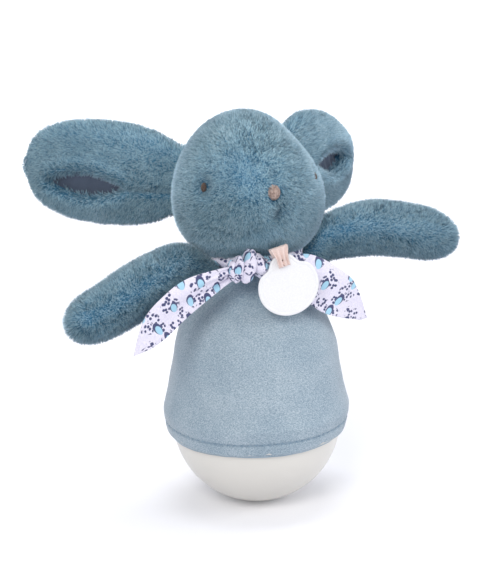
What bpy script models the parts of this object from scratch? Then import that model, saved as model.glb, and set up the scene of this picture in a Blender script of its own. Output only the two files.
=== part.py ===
# Roly-poly night light: a weighted ball lamp with a plush rabbit pulled over it.
# The origin is the middle of the flat foot, the rabbit faces -Y, and +Z is up. Sizes are in millimetres until mm() turns them.
import math

import bmesh
import bpy
from mathutils import Matrix, Vector

# Light ball
ball_radius = 41.0
foot_radius = 7.0
bowl_wall = 2.2
dome_wall = 1.8
rim_z = 44.0            # where bowl and dome meet, under the plush
gap = 0.3               # room between pieces that fit each other
facet_room = 0.45       # more room where a piece seats against the flat facets of the ball's wall
lap_height = 1.4
lap_wall = 1.6
deck_thickness = 1.5
ledge_width = 6.2
ledge_thickness = 3.0

# Counterweight and its screw
post_radius = 3.2
post_height = 12.0
weight_screw_radius = 1.4
weight_screw_head_radius = 3.4
weight_screw_head_height = 1.6
washer_radius = 4.5
washer_thickness = 0.8

# Battery tube, at the back of the underside
battery_angle = 40.0    # from straight down towards the back
door_radius = 12.0
cell_radius = 5.8
cell_height = 5.2
cell_count = 3
tube_wall = 1.6
tube_end_wall = 1.5
tube_flange_radius = 11.4
tube_flange_thickness = 2.0
contact_thickness = 0.4
battery_spring_height = 2.6
battery_spring_wire = 0.25
door_screw_offset = 9.0
door_screw_radius = 0.9
door_screw_head_radius = 1.9
door_screw_head_height = 1.0

# Power button, at the back just under the hem
button_angle = 18.0     # below the ball's middle
button_radius = 5.0
button_proud = 0.9
button_travel = 0.8
button_flange = 1.2
button_flange_thickness = 1.0
button_stem_radius = 1.5
button_stem_length = 0.9
housing_wall = 1.2
housing_depth = 5.4
switch_side = 6.0

# Board and lamps
board_radius = 17.0
board_thickness = 1.6
led_radius = 2.5
led_height = 5.0
led_ring_radius = 9.0
led_count = 3
chip_size = (6.0, 4.0, 1.5)
small_screw_radius = 0.8
small_screw_head_radius = 1.8
small_screw_head_height = 1.1
deck_screw_count = 3
board_screw_count = 2
wire_radius = 0.5
wire_way_radius = 2.0    # of the holes that the leads leave the tube and the housing by
wire_hole_radius = 3.2
wire_hole_y = 23.0

# Plush body: its outside runs from the hem, which follows the ball, to the neck. Each point of its shape has
# a share of the way from the neck's radius to the hem's, and a share of the height from the hem to the neck.
hem_overhang = 3.2
hem_drop = 5.6          # below the ball's middle
neck_radius = 11.8
neck_z = 127.8
body_shape = [(1, 0), (1.0216, 0.0452), (1.0093, 0.1527), (0.9722, 0.2602), (0.9105, 0.3785),
              (0.8364, 0.486), (0.7531, 0.572), (0.6481, 0.6581), (0.537, 0.7226), (0.4444, 0.771),
              (0.3333, 0.8301), (0.216, 0.8892), (0.1173, 0.9269), (0, 1)]
fabric = 2.0
lining_thickness = 0.6
lining_rise = 11.2      # of the lining's top above the hem
lining_show = 2.4       # how far the lining hangs below the hem
elastic_width = 1.2
elastic_thickness = 0.8
elastic_rise = 2.4      # of the elastic's middle above the hem
wadding = 2.0
wadding_seat_rise = 27.2    # of the wadding's seat on the ball above the hem
wadding_top_drop = 8.0  # below the neck

# Head
head_centre = Vector((-2.9, -2.0, 158.5))
head_radius = 34.7
head_wall = 1.8
head_wadding = 1.6
neck_hole_radius = 9.0
eye_azimuth = 56.0
eye_elevation = 9.0
eye_radius = 2.3
nose_elevation = 5.0
nose_size = (4.1, 3.5)
stitch_height = 1.1

# Ears: half width and half thickness along the ear, from its pivot
ear_pivot_depth = 27.0  # of the pivot from the head's centre
ear_sweep = 50.0        # from straight sideways towards the back is 90 less this, seen from above
ear_root_radius = 18.0
ear_slot_half = 6.2
ear_lift_right = 3.0
ear_lift_left = -6.0
ear_outline = [(91.0, 0.0, 0.0), (89.3, 8.0, 2.6), (84.5, 15.0, 4.6), (76.5, 20.6, 6.6), (65.0, 24.2, 8.2),
               (48.0, 25.6, 9.4), (33.0, 24.4, 9.2), (21.0, 20.8, 7.8), (12.5, 17.4, 6.4), (8.5, 15.9, 5.9),
               (0.0, 17.4, 5.6), (-8.0, 16.0, 5.2), (-14.0, 11.0, 4.2)]
ear_wall = 1.8
slit_start = 39.0
slit_end = 77.0
slit_half_width = 4.6
slit_shift = -1.6
lining_depth = 1.9
inner_tip_room = 8.6    # from the ear's tip to its wadding's
ear_pad_back = 1.0      # how far the ear's wadding reaches behind its middle

# Arms: radius along the arm, from the shoulder pivot
arm_pivot = (24.0, -2.0, 111.0)
arm_forward = 14.5
arm_lift_right = 0.0
arm_lift_left = 12.0
arm_bulb_radius = 10.4
arm_outline = [(82.4, 0.0), (81.6, 4.4), (78.6, 8.9), (73.5, 12.2), (66.0, 13.9), (56.0, 13.8), (44.0, 12.6),
               (31.0, 10.9), (19.0, 9.1), (11.5, 7.9)]
arm_wall = 1.8
arm_wadding = 1.6
arm_hole_radius = 4.2

# Scarf, ribbon and tag
cloth = 1.0
band_inner = 16.3
band_outer = 24.3
band_bottom_z = 121.2
band_top_z = 125.8
knot_centre = Vector((-12.6, -28.2, 125.0))
knot_half = Vector((10.2, 6.6, 7.6))
tail_right_upper = [(-18.5, -28.2, 127.2), (-41.6, -28.4, 123.6), (-56.4, -29.6, 115.8), (-66.0, -31.4, 106.4),
                    (-71.5, -32.6, 91.0)]
tail_right_lower = [(-19.0, -28.8, 121.0), (-37.2, -29.0, 109.6), (-48.2, -29.6, 101.8), (-56.8, -31.0, 96.0),
                    (-63.4, -32.2, 93.0)]
tail_left_upper = [(-6.5, -29.0, 128.0), (17.9, -26.6, 127.4), (37.7, -24.0, 115.0), (44.6, -22.6, 105.6),
                   (50.0, -20.6, 90.6)]
tail_left_lower = [(-6.5, -29.4, 122.5), (11.0, -32.2, 109.6), (21.4, -31.0, 100.4), (32.8, -27.2, 94.8),
                   (46.2, -22.0, 90.4)]
fold_depth = 1.5
tag_top = Vector((2.6, -32.4, 128.6))
tag_lean = 8.0          # the tag's foot stands forward of its top
tag_disc_radius = 15.6
tag_neck_half = 7.6
tag_length = 31.6
tag_thickness = 1.2
tag_hole_radius = 1.5
tag_hole_drop = 4.6
tag_turn = 14.0         # about its own face, foot towards the rabbit's left
ribbon_width = 7.6
ribbon_thickness = 0.7
ribbon_drop = 7.4       # how far its two layers reach down the tag
ribbon_rise = 0.5       # from the tag's top edge to the start of its bend

sphere_steps = 28
soft_steps = 24
small_steps = 16
tiny_steps = 12
cutter_turn = 0.11
far = 50.0              # past the ball's wall, for cutters that start at its centre


def mm(value):
    """Metres from millimetres, for a number or a vector."""
    return value * 0.001


def material(name, colour, roughness, metallic=0.0):
    made = bpy.data.materials.new(name)
    made.use_nodes = True
    shader = made.node_tree.nodes["Principled BSDF"]
    shader.inputs["Base Color"].default_value = (*colour, 1.0)
    shader.inputs["Roughness"].default_value = roughness
    shader.inputs["Metallic"].default_value = metallic
    return made


def object_from(name, bm, finish, pivot=None, flat_angle=35.0):
    """An object whose mesh is in world millimetres, turned to metres and placed on its pivot."""
    bmesh.ops.remove_doubles(bm, verts=bm.verts, dist=1e-4)
    bmesh.ops.recalc_face_normals(bm, faces=bm.faces)
    anchor = pivots[pivot].location if pivot else Vector((0, 0, 0))
    for vert in bm.verts:
        vert.co = mm(vert.co) - anchor
    mesh = bpy.data.meshes.new(name)
    bm.to_mesh(mesh)
    bm.free()
    mesh.shade_smooth()
    mesh.set_sharp_from_angle(angle=math.radians(flat_angle))
    mesh.materials.append(finish)
    made = bpy.data.objects.new(name, mesh)
    bpy.context.scene.collection.objects.link(made)
    if pivot:
        made.parent = pivots[pivot]
    return made


def add_pivot(name, place):
    empty = bpy.data.objects.new(f"pivot_{name}", None)
    empty.location = mm(Vector(place))
    bpy.context.scene.collection.objects.link(empty)
    pivots[name] = empty


def turned(profile, steps=sphere_steps, base=None):
    """A closed outline of (radius, height) spun round Z; base is the matrix that then places it."""
    bm = bmesh.new()
    verts = [bm.verts.new((radius, 0, height)) for radius, height in profile]
    pairs = zip(verts, verts[1:] + verts[:1])
    edges = [bm.edges.new(pair) for pair in pairs if max(vert.co.x for vert in pair) > 0]
    bmesh.ops.spin(bm, geom=verts + edges, cent=(0, 0, 0), axis=(0, 0, 1), angle=math.tau, steps=steps)
    if base:
        bm.transform(base)
    return bm


def add_to(bm, other):
    """Copies another bmesh in beside this one."""
    mesh = bpy.data.meshes.new("scrap")
    other.to_mesh(mesh)
    other.free()
    bm.from_mesh(mesh)
    bpy.data.meshes.remove(mesh)


def along(direction, centre=(0, 0, 0), up=(0, 0, 1)):
    """A matrix whose Z runs along direction and whose X is level."""
    z = Vector(direction).normalized()
    x = Vector(up).cross(z).normalized()
    y = z.cross(x)
    return Matrix.Translation(centre) @ Matrix((x, y, z)).transposed().to_4x4()


def cylinder_profile(radius, low, high):
    return [(0, high), (radius, high), (radius, low), (0, low)]


def drill(radius, low, high, steps, place=Matrix.Identity(4)):
    """A round cutter, turned a little so that its corners miss the corners of what it cuts."""
    return turned(cylinder_profile(radius, low, high), steps, place @ Matrix.Rotation(cutter_turn, 4, "Z"))


def arc(radius, centre_z, start, end, steps):
    """Points of a circle about the axis, from one height to another."""
    first = math.asin((start - centre_z) / radius)
    last = math.asin((end - centre_z) / radius)
    angles = [first + (last - first) * i / steps for i in range(steps + 1)]
    return [(radius * math.cos(a), centre_z + radius * math.sin(a)) for a in angles]


def lofted(rings, start=None, end=None):
    """A skin over rings of points, closed by a pole at each end."""
    bm = bmesh.new()
    rows = [[bm.verts.new(point) for point in ring] for ring in rings]
    count = len(rows[0])
    for first, second in zip(rows, rows[1:]):
        for i in range(count):
            j = (i + 1) % count
            bm.faces.new((first[i], first[j], second[j], second[i]))
    for pole, row in ((start, rows[0]), (end, rows[-1])):
        tip = bm.verts.new(pole)
        for i in range(count):
            bm.faces.new((row[i], row[(i + 1) % count], tip))
    return bm


def thickened(grid, thickness):
    """A closed cloth from a grid of points, grown to both sides along its normals."""
    rows, cols = len(grid), len(grid[0])
    front, back = [], []
    bm = bmesh.new()
    for r in range(rows):
        front.append([])
        back.append([])
        for c in range(cols):
            across = grid[r][min(c + 1, cols - 1)] - grid[r][max(c - 1, 0)]
            lengthways = grid[min(r + 1, rows - 1)][c] - grid[max(r - 1, 0)][c]
            normal = across.cross(lengthways).normalized() * thickness / 2
            front[r].append(bm.verts.new(grid[r][c] + normal))
            back[r].append(bm.verts.new(grid[r][c] - normal))
    for r in range(rows - 1):
        for c in range(cols - 1):
            bm.faces.new((front[r][c], front[r][c + 1], front[r + 1][c + 1], front[r + 1][c]))
            bm.faces.new((back[r][c], back[r + 1][c], back[r + 1][c + 1], back[r][c + 1]))
    rim = [(r, 0) for r in range(rows)] + [(rows - 1, c) for c in range(1, cols)]
    rim += [(r, cols - 1) for r in range(rows - 2, -1, -1)] + [(0, c) for c in range(cols - 2, 0, -1)]
    for (r, c), (s, d) in zip(rim, rim[1:] + rim[:1]):
        bm.faces.new((front[r][c], front[s][d], back[s][d], back[r][c]))
    return bm


def cutter(name, bm, pivot=None):
    made = object_from(name, bm, finishes["cut"], pivot)
    made.hide_render = True
    made.display_type = "WIRE"
    return made


def cut(target, *tools):
    for tool in tools:
        step = target.modifiers.new(f"cut {tool.name}", "BOOLEAN")
        step.operation = "DIFFERENCE"
        step.solver = "EXACT"
        step.object = tool


def keep_inside(target, tool):
    step = target.modifiers.new(f"keep {tool.name}", "BOOLEAN")
    step.operation = "INTERSECT"
    step.solver = "EXACT"
    step.object = tool


def smooth_curve(points, steps):
    """Points read from a smooth curve through the given ones."""
    path = []
    last = len(points) - 1
    for i in range(last):
        before, start, end, after = (Vector(points[max(0, min(last, k))]) for k in (i - 1, i, i + 1, i + 2))
        for step in range(steps):
            t = step / steps
            path.append(0.5 * (2 * start + (end - before) * t + (2 * before - 5 * start + 4 * end - after) * t * t
                               + (3 * start - before - 3 * end + after) * t ** 3))
    path.append(Vector(points[-1]))
    return path


def tube_curve(name, points, radius, finish, resolution=2):
    data = bpy.data.curves.new(name, "CURVE")
    data.dimensions = "3D"
    data.bevel_depth = mm(radius)
    data.bevel_resolution = resolution
    data.use_fill_caps = True
    spline = data.splines.new("POLY")
    spline.points.add(len(points) - 1)
    for slot, point in zip(spline.points, points):
        slot.co = (*mm(Vector(point)), 1)
    data.materials.append(finish)
    made = bpy.data.objects.new(name, data)
    bpy.context.scene.collection.objects.link(made)
    return made


def screw_profile(shaft, head, head_height, length):
    """A pan head on a plain shaft, its head's underside at height 0."""
    return [(0, head_height), (head * 0.7, head_height), (head, head_height * 0.45), (head, 0),
            (shaft, 0), (shaft, -length + shaft), (0, -length)]


def inset(outline, by):
    """An outline moved inwards, square to its own run."""
    moved = []
    for i, (radius, height) in enumerate(outline):
        before = outline[max(i - 1, 0)]
        after = outline[min(i + 1, len(outline) - 1)]
        run = Vector((after[0] - before[0], after[1] - before[1])).normalized()
        moved.append((radius - run.y * by, height + run.x * by))
    return moved


def thinned(points):
    """Every second point, with both ends kept."""
    return points[:-1:2] + points[-1:]


ball_z = math.sqrt(ball_radius ** 2 - foot_radius ** 2)
ball_centre = Vector((0, 0, ball_z))
hem_radius = ball_radius + hem_overhang
hem_z = ball_z - hem_drop
elastic_z = hem_z + elastic_rise
lining_top_z = hem_z + lining_rise
wadding_seat_z = hem_z + wadding_seat_rise
body_outline = [(neck_radius + (hem_radius - neck_radius) * wide, hem_z + (neck_z - hem_z) * high)
                for wide, high in body_shape]
inner_radius = ball_radius - bowl_wall
lap_radius = inner_radius - gap
deck_z = rim_z - lap_height - deck_thickness
ledge_z = deck_z - gap
deck_top_z = deck_z + deck_thickness
lap_bottom_z = deck_top_z + gap
ledge_radius = inner_radius - ledge_width
deck_screw_ring = lap_radius - lap_wall - gap - small_screw_head_radius
board_z = deck_top_z + gap
post_top_z = ball_z - inner_radius + post_height
battery_way = Vector((0, math.sin(math.radians(battery_angle)), -math.cos(math.radians(battery_angle))))
button_way = Vector((0, math.cos(math.radians(button_angle)), -math.sin(math.radians(button_angle))))
tube_radius = cell_radius + gap + tube_wall


def make_bowl():
    """The moulded lower shell, with a post for the weight, a ledge for the deck, and holes for door and button."""
    floor_z = ball_z - inner_radius
    outside = arc(ball_radius, ball_z, rim_z, 0.0, 8)
    inside = arc(inner_radius, ball_z, math.sqrt(inner_radius ** 2 - post_radius ** 2) * -1 + ball_z,
                 ledge_z - ledge_thickness, 6)
    rim_radius = math.sqrt(inner_radius ** 2 - (ledge_z - ball_z) ** 2)
    pilot = weight_screw_radius + gap
    profile = outside + [(0, 0), (0, floor_z + 2.6), (pilot, floor_z + 2.6), (pilot, post_top_z),
                         (post_radius, post_top_z)]
    profile += inside + [(ledge_radius, ledge_z - ledge_thickness + 1.2), (ledge_radius, ledge_z),
                         (rim_radius, ledge_z), (lap_radius + gap, rim_z)]
    bowl = object_from("base_bowl", turned(profile), finishes["ivory"])
    holes = bmesh.new()
    for i in range(deck_screw_count):
        turn = Matrix.Rotation(math.tau * (i + 0.5) / deck_screw_count, 4, "Z")
        place = turn @ Matrix.Translation((deck_screw_ring, 0, 0))
        add_to(holes, drill(small_screw_radius + gap, ledge_z - 8, ledge_z + 1, 8, place))
    door_hole = drill(door_radius + gap, 25, far, soft_steps, along(battery_way, ball_centre))
    button_hole = drill(button_radius + gap, 30, far, small_steps, along(button_way, ball_centre))
    cut(bowl, cutter("cut_bowl_door", door_hole), cutter("cut_bowl_button", button_hole),
        cutter("cut_bowl_screws", holes))


def make_dome():
    """The milky upper shell that spreads the light, with a lap that sits inside the bowl's rim."""
    dome_inner = ball_radius - dome_wall
    inside_start = rim_z + 1.2
    profile = arc(ball_radius, ball_z, ball_z + ball_radius - 0.001, rim_z + gap, 7)
    profile[0] = (0, ball_z + ball_radius)
    profile += [(lap_radius, rim_z + gap), (lap_radius, lap_bottom_z), (lap_radius - lap_wall, lap_bottom_z)]
    inner_arc = arc(dome_inner, ball_z, inside_start + 0.6, ball_z + dome_inner - 0.001, 5)
    inner_arc[-1] = (0, ball_z + dome_inner)
    profile += [(lap_radius - lap_wall, inside_start)] + inner_arc
    object_from("ball_dome", turned(profile), finishes["milky"])


def make_weight():
    """The cast weight that keeps the ball upright: a solid cap that fills the bowl's floor."""
    reach = inner_radius - gap - facet_room
    tube_corner_z = ball_z + battery_way.z * tube_seat()[0] - battery_way.y * tube_radius
    weight_top_z = tube_corner_z - washer_thickness - 2 * gap
    low = ball_z - math.sqrt(reach ** 2 - (post_radius + gap) ** 2)
    bore = post_radius + gap
    profile = [(bore, weight_top_z)] + arc(reach, ball_z, weight_top_z, low, 6)
    weight = object_from("counterweight", turned(profile, soft_steps), finishes["iron"])
    way = along(battery_way, ball_centre)
    flange_in = tube_seat()[1] - tube_flange_thickness - gap
    switch_room = drill(button_radius + button_flange + housing_wall + 3 * gap, 20, far, small_steps,
                        along(button_way, ball_centre))
    cut(weight, cutter("cut_weight_tube", drill(tube_radius + gap, 8, far, soft_steps, way)),
        cutter("cut_weight_flange", drill(tube_flange_radius + 3 * gap, flange_in, far, soft_steps, way)),
        cutter("cut_weight_switch", switch_room))
    clamp_z = weight_top_z + gap
    washer = [(weight_screw_radius + gap, clamp_z), (weight_screw_radius + gap, clamp_z + washer_thickness),
              (washer_radius, clamp_z + washer_thickness), (washer_radius, clamp_z)]
    object_from("weight_washer", turned(washer, small_steps), finishes["steel"])
    head_z = clamp_z + washer_thickness + gap
    screw = screw_profile(weight_screw_radius, weight_screw_head_radius, weight_screw_head_height,
                          head_z - (ball_z - inner_radius) - 3.4)
    object_from("weight_screw", turned(screw, small_steps, Matrix.Translation((0, 0, head_z))), finishes["steel"])


def tube_seat():
    """Distances from the ball's centre of the tube's inner end, its outer face, and its cells."""
    outer_face = math.sqrt(inner_radius ** 2 - tube_flange_radius ** 2) - gap - facet_room
    cells_end = outer_face - battery_spring_height + 0.4
    first_cell = cells_end - cell_count * cell_height
    inner_end = first_cell - gap - contact_thickness - gap - tube_end_wall
    return inner_end, outer_face, first_cell


def make_battery():
    inner_end, outer_face, first_cell = tube_seat()
    way = along(battery_way, ball_centre)
    bore = cell_radius + gap
    tube = [(tube_radius, outer_face - tube_flange_thickness), (tube_radius, inner_end), (0, inner_end)]
    tube = [(0, inner_end + tube_end_wall), (bore, inner_end + tube_end_wall), (bore, outer_face),
            (tube_flange_radius, outer_face), (tube_flange_radius, outer_face - tube_flange_thickness)] + tube
    holder = object_from("battery_tube", turned(tube, soft_steps, way), finishes["ivory"])
    screw_way = along(battery_way, ball_centre + along(battery_way).to_3x3() @ Vector((door_screw_offset, 0, 0)))
    shaft_hole = drill(door_screw_radius + gap, 20, far, tiny_steps, screw_way)
    cut(holder, cutter("cut_door_shaft", shaft_hole),
        cutter("cut_tube_wires", drill(wire_way_radius, inner_end - 2, inner_end + tube_end_wall + 1, tiny_steps, way)))

    contact = [(0, 0), (cell_radius - 0.6, 0), (cell_radius - 0.6, -contact_thickness), (0, -contact_thickness)]
    plate = turned(contact, small_steps, way @ Matrix.Translation((0, 0, first_cell - gap)))
    object_from("battery_contact", plate, finishes["steel"])
    for i in range(cell_count):
        low = first_cell + i * cell_height
        high = low + cell_height - gap
        can = [(0, high), (cell_radius - 0.9, high), (cell_radius - 0.9, high - 0.5), (cell_radius, high - 0.8),
               (cell_radius, low), (0, low)]
        object_from(f"button_cell_{i + 1}", turned(can, small_steps, way), finishes["steel"])

    spring_low = first_cell + cell_count * cell_height + battery_spring_wire
    spring_high = math.sqrt(inner_radius ** 2 - 16) - gap - battery_spring_wire
    turns, per_turn = 2, 8
    coil = []
    for i in range(turns * per_turn + 1):
        share = i / (turns * per_turn)
        radius = 2.2 + 2.0 * share
        angle = math.tau * i / per_turn
        coil.append(way @ Vector((radius * math.cos(angle), radius * math.sin(angle),
                                  spring_low + (spring_high - spring_low) * share)))
    tube_curve("battery_spring", coil, battery_spring_wire, finishes["steel"], 1)

    door_depth = math.sqrt(inner_radius ** 2 - (door_radius + gap) ** 2) - tube_flange_thickness
    shell = arc(ball_radius, 0, -door_depth, -ball_radius + 0.001, 5)
    shell[-1] = (0, -ball_radius)
    hollow = arc(inner_radius, 0, -inner_radius + 0.001, -door_depth, 5)
    hollow[0] = (0, -inner_radius)
    flip = along(-battery_way, ball_centre)
    door = object_from("battery_door", turned(shell + hollow, small_steps, flip), finishes["ivory"])
    round_cut = cutter("cut_door_round", drill(door_radius, door_depth, far, soft_steps, way))
    keep_inside(door, round_cut)
    head_seat = ball_radius * math.cos(math.asin(door_screw_offset / ball_radius)) - door_screw_head_height - 0.2
    cut(door, bpy.data.objects["cut_door_shaft"],
        cutter("cut_door_head", drill(door_screw_head_radius + gap, head_seat, far, tiny_steps, screw_way)))
    screw = screw_profile(door_screw_radius, door_screw_head_radius, door_screw_head_height,
                          head_seat - outer_face + tube_flange_thickness)
    object_from("door_screw", turned(screw, tiny_steps, screw_way @ Matrix.Translation((0, 0, head_seat + gap / 2))),
                finishes["steel"])


def make_button():
    way = along(button_way, ball_centre)
    flange_radius = button_radius + button_flange
    flange_out = math.sqrt(inner_radius ** 2 - flange_radius ** 2) - gap - facet_room
    flange_in = flange_out - button_flange_thickness
    face = ball_radius + button_proud
    cap = [(0, face), (button_radius * 0.75, face - 0.15), (button_radius, face - 0.8), (button_radius, flange_out),
           (flange_radius, flange_out), (flange_radius, flange_in), (button_stem_radius, flange_in),
           (button_stem_radius, flange_in - button_stem_length), (0, flange_in - button_stem_length)]
    object_from("power_button", turned(cap, small_steps, way), finishes["button"], "button")
    bore = flange_radius + gap
    outer = bore + housing_wall
    mouth = math.sqrt(inner_radius ** 2 - outer ** 2) - gap - facet_room
    back = mouth - housing_depth
    cup = [(bore, mouth), (outer, mouth), (outer, back - housing_wall), (0, back - housing_wall), (0, back),
           (bore, back)]
    housing = object_from("button_housing", turned(cup, small_steps, way), finishes["ivory"])
    cut(housing, cutter("cut_housing_wires", drill(wire_way_radius, back - housing_wall - 1, back + 0.1, tiny_steps, way)))
    switch_out = flange_in - button_stem_length - button_travel - gap
    body = bmesh.new()
    bmesh.ops.create_cube(body, size=1.0, matrix=way @ Matrix.Translation((0, 0, (back + gap + switch_out - 0.6) / 2))
                          @ Matrix.Diagonal((switch_side, switch_side, switch_out - 0.6 - back - gap, 1)))
    switch = object_from("press_switch", body, finishes["dark"])
    plunger = cutter("join_switch", drill(button_stem_radius, back + 1, switch_out, 16, way))
    step = switch.modifiers.new("plunger", "BOOLEAN")
    step.operation = "UNION"
    step.object = plunger
    return back - housing_wall


def make_deck(housing_back):
    """The plate that clamps between bowl and dome, with the board and its lamps."""
    radius = lap_radius
    deck = object_from("lamp_deck", turned(cylinder_profile(radius, deck_z, deck_top_z), sphere_steps), finishes["ivory"])
    holes = bmesh.new()
    for i in range(deck_screw_count):
        turn = Matrix.Rotation(math.tau * (i + 0.5) / deck_screw_count, 4, "Z")
        place = turn @ Matrix.Translation((deck_screw_ring, 0, 0))
        add_to(holes, drill(small_screw_radius + gap, deck_z - 1, deck_top_z + 1, 8, place))
        head = screw_profile(small_screw_radius, small_screw_head_radius, small_screw_head_height, 4.0)
        screw = turned(head, tiny_steps, place @ Matrix.Translation((0, 0, deck_top_z + gap)))
        object_from(f"deck_screw_{i + 1}", screw, finishes["steel"])
    add_to(holes, drill(wire_hole_radius, deck_z - 1, deck_top_z + 1, 16, Matrix.Translation((0, wire_hole_y, 0))))
    for i in range(board_screw_count):
        spot = Matrix.Rotation(math.tau * i / board_screw_count, 4, "Z") @ Vector((board_radius - 3.2, 0, 0))
        add_to(holes, drill(small_screw_radius + gap, deck_z - 1, deck_top_z + 1, 8, Matrix.Translation(spot)))
    cut(deck, cutter("cut_deck", holes))

    board = object_from("circuit_board", turned(cylinder_profile(board_radius, board_z, board_z + board_thickness),
                                                soft_steps), finishes["board"])
    top = board_z + board_thickness
    drilled = bmesh.new()
    for i in range(board_screw_count):
        spot = Matrix.Rotation(math.tau * i / board_screw_count, 4, "Z") @ Vector((board_radius - 3.2, 0, 0))
        add_to(drilled, drill(small_screw_radius + gap, board_z - 1, top + 1, 8, Matrix.Translation(spot)))
        head = screw_profile(small_screw_radius, small_screw_head_radius, small_screw_head_height, 3.2)
        screw = turned(head, tiny_steps, Matrix.Translation(spot + Vector((0, 0, top + gap))))
        object_from(f"board_screw_{i + 1}", screw, finishes["steel"])
    cut(board, cutter("cut_board", drilled))

    for i in range(led_count):
        spot = Matrix.Rotation(math.tau * (i + 0.25) / led_count, 4, "Z") @ Vector((led_ring_radius, 0, 0))
        low = top + gap
        crown = low + led_height - led_radius
        lens = arc(led_radius, crown, crown + led_radius - 0.001, crown, 3)
        lens[0] = (0, crown + led_radius)
        lens += [(led_radius, low + 1.0), (led_radius + 0.4, low + 1.0), (led_radius + 0.4, low), (0, low)]
        object_from(f"warm_lamp_{i + 1}", turned(lens, tiny_steps, Matrix.Translation(spot)), finishes["lens"])
    chip = bmesh.new()
    bmesh.ops.create_cube(chip, size=1.0, matrix=Matrix.Translation((0, 0, top + gap + chip_size[2] / 2))
                          @ Matrix.Diagonal((*chip_size, 1)))
    object_from("control_chip", chip, finishes["dark"])

    tube_end = ball_centre + battery_way * (tube_seat()[0] - gap)
    switch_end = ball_centre + button_way * (housing_back - gap)
    edge = Vector((0, board_radius - 1.5, top + gap + wire_radius))
    for name, start, way, side in (("battery_lead", tube_end, battery_way, -1),
                                   ("switch_lead", switch_end, button_way, 1)):
        shift = Vector((side * 1.3, 0, 0))
        route = [start + shift, start - way * 3.0 + shift, Vector((0, wire_hole_y - 5.0, deck_z - 4)) + shift,
                 Vector((0, wire_hole_y, deck_z + deck_thickness / 2)) + shift,
                 Vector((0, wire_hole_y - 1.6, edge.z + 1.4)) + shift, edge + Vector((0, 2.0, 0.5)) + shift, edge + shift]
        tube_curve(name, smooth_curve(route, 2), wire_radius, finishes["wire"], 1)


def make_cover():
    """The plush body: its fabric, the lining and elastic at the hem, and the wadding under it."""
    inner = inset(body_outline, fabric)
    lining_inner = ball_radius + gap
    lining_outer = lining_inner + lining_thickness
    hem_inner = lining_outer + gap
    groove = elastic_thickness + 2 * gap
    half = elastic_width / 2 + gap
    bottom = [(hem_inner, hem_z), (hem_inner, elastic_z - half), (hem_inner + groove, elastic_z - half),
              (hem_inner + groove, elastic_z + half), (hem_inner, elastic_z + half), (hem_inner, lining_top_z)]
    climb = thinned([point for point in inner if point[1] > lining_top_z + 1.5])
    skin = bottom + climb
    profile = list(reversed(body_outline)) + skin
    cover = object_from("body_cover", turned(profile, sphere_steps), finishes["velour"], "plush", 60)
    seat = cutter("cut_head_seat", ball_at(head_centre, head_radius + gap + facet_room / 3))
    sockets = [cutter(f"cut_shoulder_{side}", ball_at(arm_place(sign), arm_bulb_radius + gap))
               for side, sign in (("right", -1), ("left", 1))]
    cut(cover, seat, *sockets)

    lining_low = hem_z - lining_show
    lining = [(lining_outer, lining_top_z), (lining_outer, lining_low), (lining_inner, lining_low),
              (lining_inner, lining_top_z)]
    object_from("hem_lining", turned(lining, sphere_steps), finishes["lining"], "plush")
    ring_inner = hem_inner + gap
    ring = [(ring_inner + elastic_thickness, elastic_z + elastic_width / 2),
            (ring_inner + elastic_thickness, elastic_z - elastic_width / 2),
            (ring_inner, elastic_z - elastic_width / 2), (ring_inner, elastic_z + elastic_width / 2)]
    object_from("hem_elastic", turned(ring, sphere_steps), finishes["elastic"], "plush")

    top_z = neck_z - wadding_top_drop
    outer = thinned([point for point in inset(body_outline, fabric + gap) if point[1] > lining_top_z + 2.2])
    deep = thinned([point for point in inset(body_outline, fabric + gap + wadding)
                    if wadding_seat_z + 2 < point[1] < top_z - 1])
    start_z = outer[0][1]
    seat_arc = arc(ball_radius + gap, ball_z, start_z, wadding_seat_z, 4)
    profile = [(0, outer[-1][1])] + list(reversed(outer)) + seat_arc + deep + [(deep[-1][0] - 2, top_z), (0, top_z)]
    filling = object_from("body_wadding", turned(profile, sphere_steps), finishes["wadding"], "plush")
    cut(filling, seat, *sockets)


def ball_at(centre, radius):
    profile = arc(radius, 0, radius - 0.001, -radius + 0.001, 12)
    profile[0] = (0, radius)
    profile[-1] = (0, -radius)
    return turned(profile, soft_steps, Matrix.Translation(centre))


def make_head():
    """The head: a nearly round skin, open at the neck, with its wadding, eyes and nose."""
    def shape(radius, low_angle, rings, count):
        made = []
        for i in range(rings):
            polar = math.radians(low_angle) * (i + 1) / rings
            ring = []
            for j in range(count):
                turn = math.tau * j / count
                way = Vector((math.sin(polar) * math.sin(turn), -math.sin(polar) * math.cos(turn), math.cos(polar)))
                ring.append(head_centre + way * radius * head_swell(way))
            made.append(ring)
        return made

    def sock(outside, inside, count, rings):
        neck = 180 - math.degrees(math.asin(neck_hole_radius / outside))
        neck_inner = 180 - math.degrees(math.asin(neck_hole_radius / inside))
        outer = shape(outside, neck, rings, count)
        inner = list(reversed(shape(inside, neck_inner, rings - 4, count)))
        top = Vector((0, 0, 1))
        return lofted(outer + inner, head_centre + top * outside * head_swell(top),
                      head_centre + top * inside * head_swell(top))

    skin = object_from("head_skin", sock(head_radius, head_radius - head_wall, soft_steps, 12), finishes["plush"], "head", 80)
    inner = head_radius - head_wall - gap
    filling = object_from("head_wadding", sock(inner, inner - head_wadding, soft_steps, 8), finishes["wadding"], "head", 80)
    for side, sign in (("right", -1), ("left", 1)):
        half = ear_slot_half + gap
        slot = cutter(f"cut_ear_slot_{side}", drill(ear_root_radius + gap, -half, half, soft_steps, ear_disc(sign)))
        cut(skin, slot)
        cut(filling, slot)

    for side, sign in (("right", -1), ("left", 1)):
        stitched(f"eye_{side}", sign * eye_azimuth, eye_elevation, (eye_radius, eye_radius * 1.25), finishes["eye"])
    stitched("nose", 0.0, nose_elevation, nose_size, finishes["nose"])


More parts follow.
